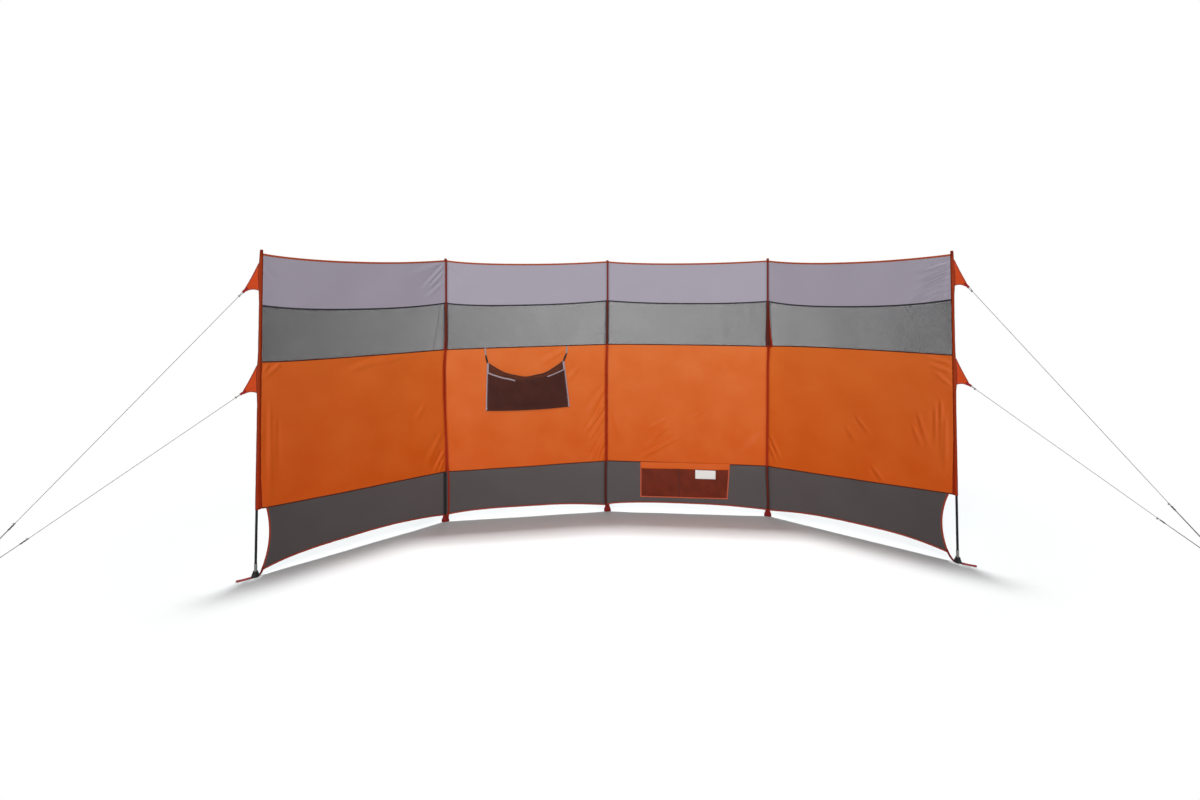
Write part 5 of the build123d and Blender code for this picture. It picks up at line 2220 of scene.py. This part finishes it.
@dataclass
class SewnPocket:
    """The flat mesh pocket sewn on the right bay's skirt, with an edge band, a divider and a blank patch."""

    bay: Bay
    left: float = 194 * MM
    right: float = 728 * MM
    right_slant: float = 14 * MM
    bottom: float = 92 * MM
    band_low: float = 269 * MM
    band_high: float = 304 * MM
    band_overlap: float = 3 * MM
    band_lift: float = 1.2 * MM
    divider: float = 424 * MM
    divider_half: float = 4 * MM
    edge_lift: float = 3 * MM
    bulge: float = 8 * MM
    bulge_power: float = 0.8
    # depth of the small sags, and metres to a radian along and up
    sags: Triple = (0.8 * MM, 30 * MM, 18 * MM)
    cell: float = 5 * MM
    columns: int = 107
    thickness: float = 0.5 * MM
    binding: float = 7 * MM
    binding_thickness: float = 3 * MM
    binding_drop: float = 2 * MM
    patch_places: tuple[float, float, float, float] = (522 * MM, 642 * MM, 213 * MM, 264 * MM)
    patch_slant: float = 0.01
    patch_lift: float = 1.6 * MM

    def right_at(self, z: Array) -> Array:
        """x of the right side, which slants in towards the bottom."""
        return self.right - self.right_slant * (self.band_high - z) / (self.band_high - self.bottom)

    def relief(self, x: Array, z: Array) -> Array:
        """The front stands off the skirt: a half wave across each half and up the pocket, with small sags.

        Args:
            x: places along the bay.
            z: heights.

        Returns:
            A lift for each place.
        """
        near = (x - self.left) / (self.divider - self.left)
        far = (x - self.divider) / (self.right_at(z) - self.divider)
        share = np.clip(np.where(x < self.divider, near, far), 0.0, 1.0)
        across = np.sin(np.pi * share) ** self.bulge_power
        grown = np.clip((z - self.bottom) / (self.band_high - self.bottom), 0.0, 1.0)
        depth, run, rise = self.sags
        sags = depth * np.sin(x / run) * np.sin(z / rise) * across
        swollen = self.bulge * across * np.sin(np.pi * grown) ** self.bulge_power
        return self.bay.relief(x, z) + self.edge_lift + swollen + sags

    def build(self) -> None:
        """Make the mesh, the edge band, the bindings, the divider and the patch."""
        plane, overlapped = self.bay.plane, self.band_low - self.band_overlap
        for node, slot, finish, low, high, lift in (
            ("sewn_pocket_mesh", "pocket_mesh", SEWN_NET, self.bottom, self.band_low, 0.0),
            ("sewn_pocket_band", "main_cloth", ORANGE_CLOTH, overlapped, self.band_high, self.band_lift),
        ):
            rows = round((high - low) / self.cell) + 1
            share, z = np.meshgrid(shares(self.columns), np.linspace(low, high, rows))
            x = between(self.left, self.right_at(z), share)
            surface = plane.sheet(x, z, self.relief(x, z) + lift)
            put(f"{node}_cloth", surface, finish, slot, (node,), self.thickness)
        made = [
            put(
                f"sewn_pocket_{word}",
                band(plane, path, half, self.binding_thickness, self.relief),
                finish,
                "pocket_binding",
                ("sewn_pocket_bindings",),
            )
            for word, path, half, finish in self.trims()
        ]
        west, east, south, north = self.patch_places
        x, z = np.meshgrid(np.linspace(west, east, 31), np.linspace(south, north, 15))
        surface = plane.sheet(x, z - self.patch_slant * (x - west), self.relief(x, z) + self.patch_lift)
        patch = put("sewn_pocket_patch", surface, SATIN_PATCH, "pocket_binding", (), self.thickness)

    def trims(self) -> list[tuple[str, Array, float, Finish]]:
        """The pocket's bindings and its divider.

        Returns:
            Name, path, half width and finish of each.
        """
        half = self.binding / 2
        rise = np.linspace(self.bottom, self.band_high - self.binding_drop, 36)
        along = np.linspace(self.left, self.right_at(self.bottom), 90)
        middle = np.linspace(self.bottom + self.binding, self.band_low, 30)
        lines = {
            "left_binding": (self.left + half, rise),
            "right_binding": (self.right_at(rise) - half, rise),
            "bottom_binding": (along, self.bottom + half),
            "divider": (self.divider, middle),
        }
        paths = {word: paired(*line) for word, line in lines.items()}
        listed = [(word, path, half, POCKET_BINDING) for word, path in paths.items() if word != "divider"]
        return listed + [("divider", paths["divider"], self.divider_half, RUSSET_BINDING)]


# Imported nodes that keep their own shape


def dress_nodes() -> None:
    """Give the rods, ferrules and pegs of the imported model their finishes."""
    finishes = {f"{name}_pole": BLACK_ROD for name in POLES}
    finishes |= {"end_ferrules": PLATED_STEEL, "ground_pegs": GALVANISED_STEEL}
    for node, finish in finishes.items():
        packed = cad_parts[node]
        for packed_slot in packed.material_slots:
            packed_slot.material = finish.material()
        if not packed.material_slots:
            packed.data.materials.append(finish.material())


# Studio


@dataclass
class Studio:
    """Camera at the picture's viewpoint, pale floor, white surroundings and soft lamps."""

    picture: tuple[int, int] = (1200, 800)
    focal_pixels: float = 557.8
    horizon_pixel: float = 295.7
    viewpoint: Triple = (-0.1859, -3.3887, 1.3071)
    yaw: float = -0.0415
    sensor: float = 36.0
    floor_half: float = 30.0
    floor_colour: str = "#D0D4D5"
    bounce_colour: str = "#7A7A7A"  # what the floor throws back on the cloth, darker than it looks
    floor_roughness: float = 0.9
    # the shadow's ellipse, as scales along each axis, and the distances where it begins to fade and is gone
    fade_scales: Triple = (0.36, 0.62, 1.0)
    fade_ends: Pair = (0.7, 1.02)
    ambient: float = 0.1
    # place, target, width and height, and watts of each lamp
    lamps: Mapping[str, tuple[Numbers, Numbers, Numbers, float]] = field(
        default_factory=lambda: {
            "front_softbox": ((-0.8, -5.0, 5.0), (0.0, 0.0, 0.9), (3.0, 2.0), 130.0),
            "front_fill": ((0.3, -24.0, 3.0), (0.0, 0.0, 0.9), (8.0, 5.0), 3250.0),
            "overhead_lamp": ((0.0, 2.25, 14.0), (0.0, 0.0, 0.0), (2.0, 1.5), 2500.0),
            "back_fill": ((-0.3, 24.0, 4.0), (0.0, 0.0, 0.9), (8.0, 5.0), 1600.0),
        }
    )

    def camera(self) -> None:
        """A level camera whose lens and shift place the horizon and the scale as in the picture."""
        data = bpy.data.cameras.new("camera")
        data.sensor_width = self.sensor
        data.lens = self.focal_pixels / self.picture[0] * self.sensor
        data.shift_y = -(self.picture[1] / 2 - self.horizon_pixel) / self.picture[0]
        made = bpy.data.objects.new("camera", data)
        made.location = self.viewpoint
        made.rotation_euler = (math.pi / 2, 0.0, self.yaw)
        bpy.context.scene.collection.objects.link(made)
        bpy.context.scene.camera = made

    def floor(self) -> None:
        """A pale floor that takes the shadow near the windbreak and fades to plain white away from it."""
        corners = np.array([(-1, -1, 0), (1, -1, 0), (1, 1, 0), (-1, 1, 0)]) * self.floor_half
        mesh = bpy.data.meshes.new("floor")
        mesh.from_pydata(corners.tolist(), [], [(0, 1, 2, 3)])
        made = bpy.data.objects.new("floor", mesh)
        bpy.context.scene.collection.objects.link(made)
        material = bpy.data.materials.new("pale_floor_paint")
        material.use_nodes = True
        mesh.materials.append(material)
        tree = material.node_tree
        shader = tree.nodes["Principled BSDF"]
        seen = self.seen(tree)
        paints = {0: seen, COLOUR_A: linear(self.bounce_colour), COLOUR_B: linear(self.floor_colour)}
        paint = add(tree, "Mix", paints, **COLOURS)
        looks = {"Base Color": paint, "Roughness": self.floor_roughness, "Specular IOR Level": 0.0}
        join(tree, shader, looks)
        places = add(tree, "TexCoord", None, "Object")
        squeezed = add(tree, "Mapping", {"Vector": places, "Scale": self.fade_scales})
        distance = add(tree, "VectorMath", {0: squeezed}, "Value", operation="LENGTH")
        near, gone = self.fade_ends
        ends = {"Value": distance, "From Min": near, "From Max": gone}
        far = add(tree, "MapRange", ends, interpolation_type="SMOOTHSTEP")
        share = add(tree, "Math", {0: seen, 1: far}, operation="MULTIPLY")
        white = add(tree, "Emission", {"Color": WHITE, "Strength": 1.0})
        mixed = add(tree, "MixShader", {0: share, 1: shader.outputs["BSDF"], 2: white})
        join(tree, tree.nodes["Material Output"], {"Surface": mixed})

    def seen(self, tree: Tree) -> Socket:
        """One for rays that show the surroundings: from the camera, in gloss or through glass.

        Args:
            tree: what it joins.

        Returns:
            One or zero for each ray.
        """
        rays = add(tree, "LightPath").node.outputs
        gloss = {0: rays["Is Glossy Ray"], 1: rays["Is Transmission Ray"]}
        shown = {0: rays["Is Camera Ray"], 1: add(tree, "Math", gloss, operation="MAXIMUM")}
        return add(tree, "Math", shown, operation="MAXIMUM")

    def surroundings(self) -> None:
        """White surroundings that light the object faintly and evenly."""
        world = bpy.data.worlds.new("studio")
        world.use_nodes = True
        tree = world.node_tree
        level = add(tree, "Math", {0: self.seen(tree), 1: self.ambient}, operation="MAXIMUM")
        join(tree, tree.nodes["Background"], {"Color": WHITE, "Strength": level})
        bpy.context.scene.world = world

    def light(self) -> None:
        """A high front softbox, far fills before and behind, and a far lamp overhead, just behind the cloth.

        That one casts the band of shadow in front of it. The camera doesn't see them.
        """
        self.surroundings()
        for name, (place, target, size, power) in self.lamps.items():
            data = bpy.data.lights.new(name, "AREA")
            data.shape = "RECTANGLE"
            data.size, data.size_y = size
            data.energy = power
            made = bpy.data.objects.new(name, data)
            made.location = place
            aim = Vector(target) - Vector(place)
            made.rotation_euler = aim.to_track_quat("-Z", "Y").to_euler()
            made.visible_camera = False
            bpy.context.scene.collection.objects.link(made)
        bpy.context.scene.view_settings.view_transform = "Standard"


def main() -> None:
    """Build the windbreak and its studio, piece by piece."""
    logging.basicConfig(level=logging.INFO, format="%(name)s %(message)s")
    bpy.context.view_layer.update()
    studio = Studio()
    studio.camera()
    rig = Rig()
    bays = [Bay(rig, number) for number in range(len(BAYS))]
    for bay in bays:
        BayCloth(bay).build()
    guys = Guys(rig)
    PoleSleeve(rig, bays).build(guys.tab_middles())
    guys.build()
    Feet(rig, bays).build()
    HangingPocket(bays[1]).build()
    SewnPocket(bays[2]).build()
    dress_nodes()
    studio.floor()
    studio.light()


if __name__ == "__main__":
    main()
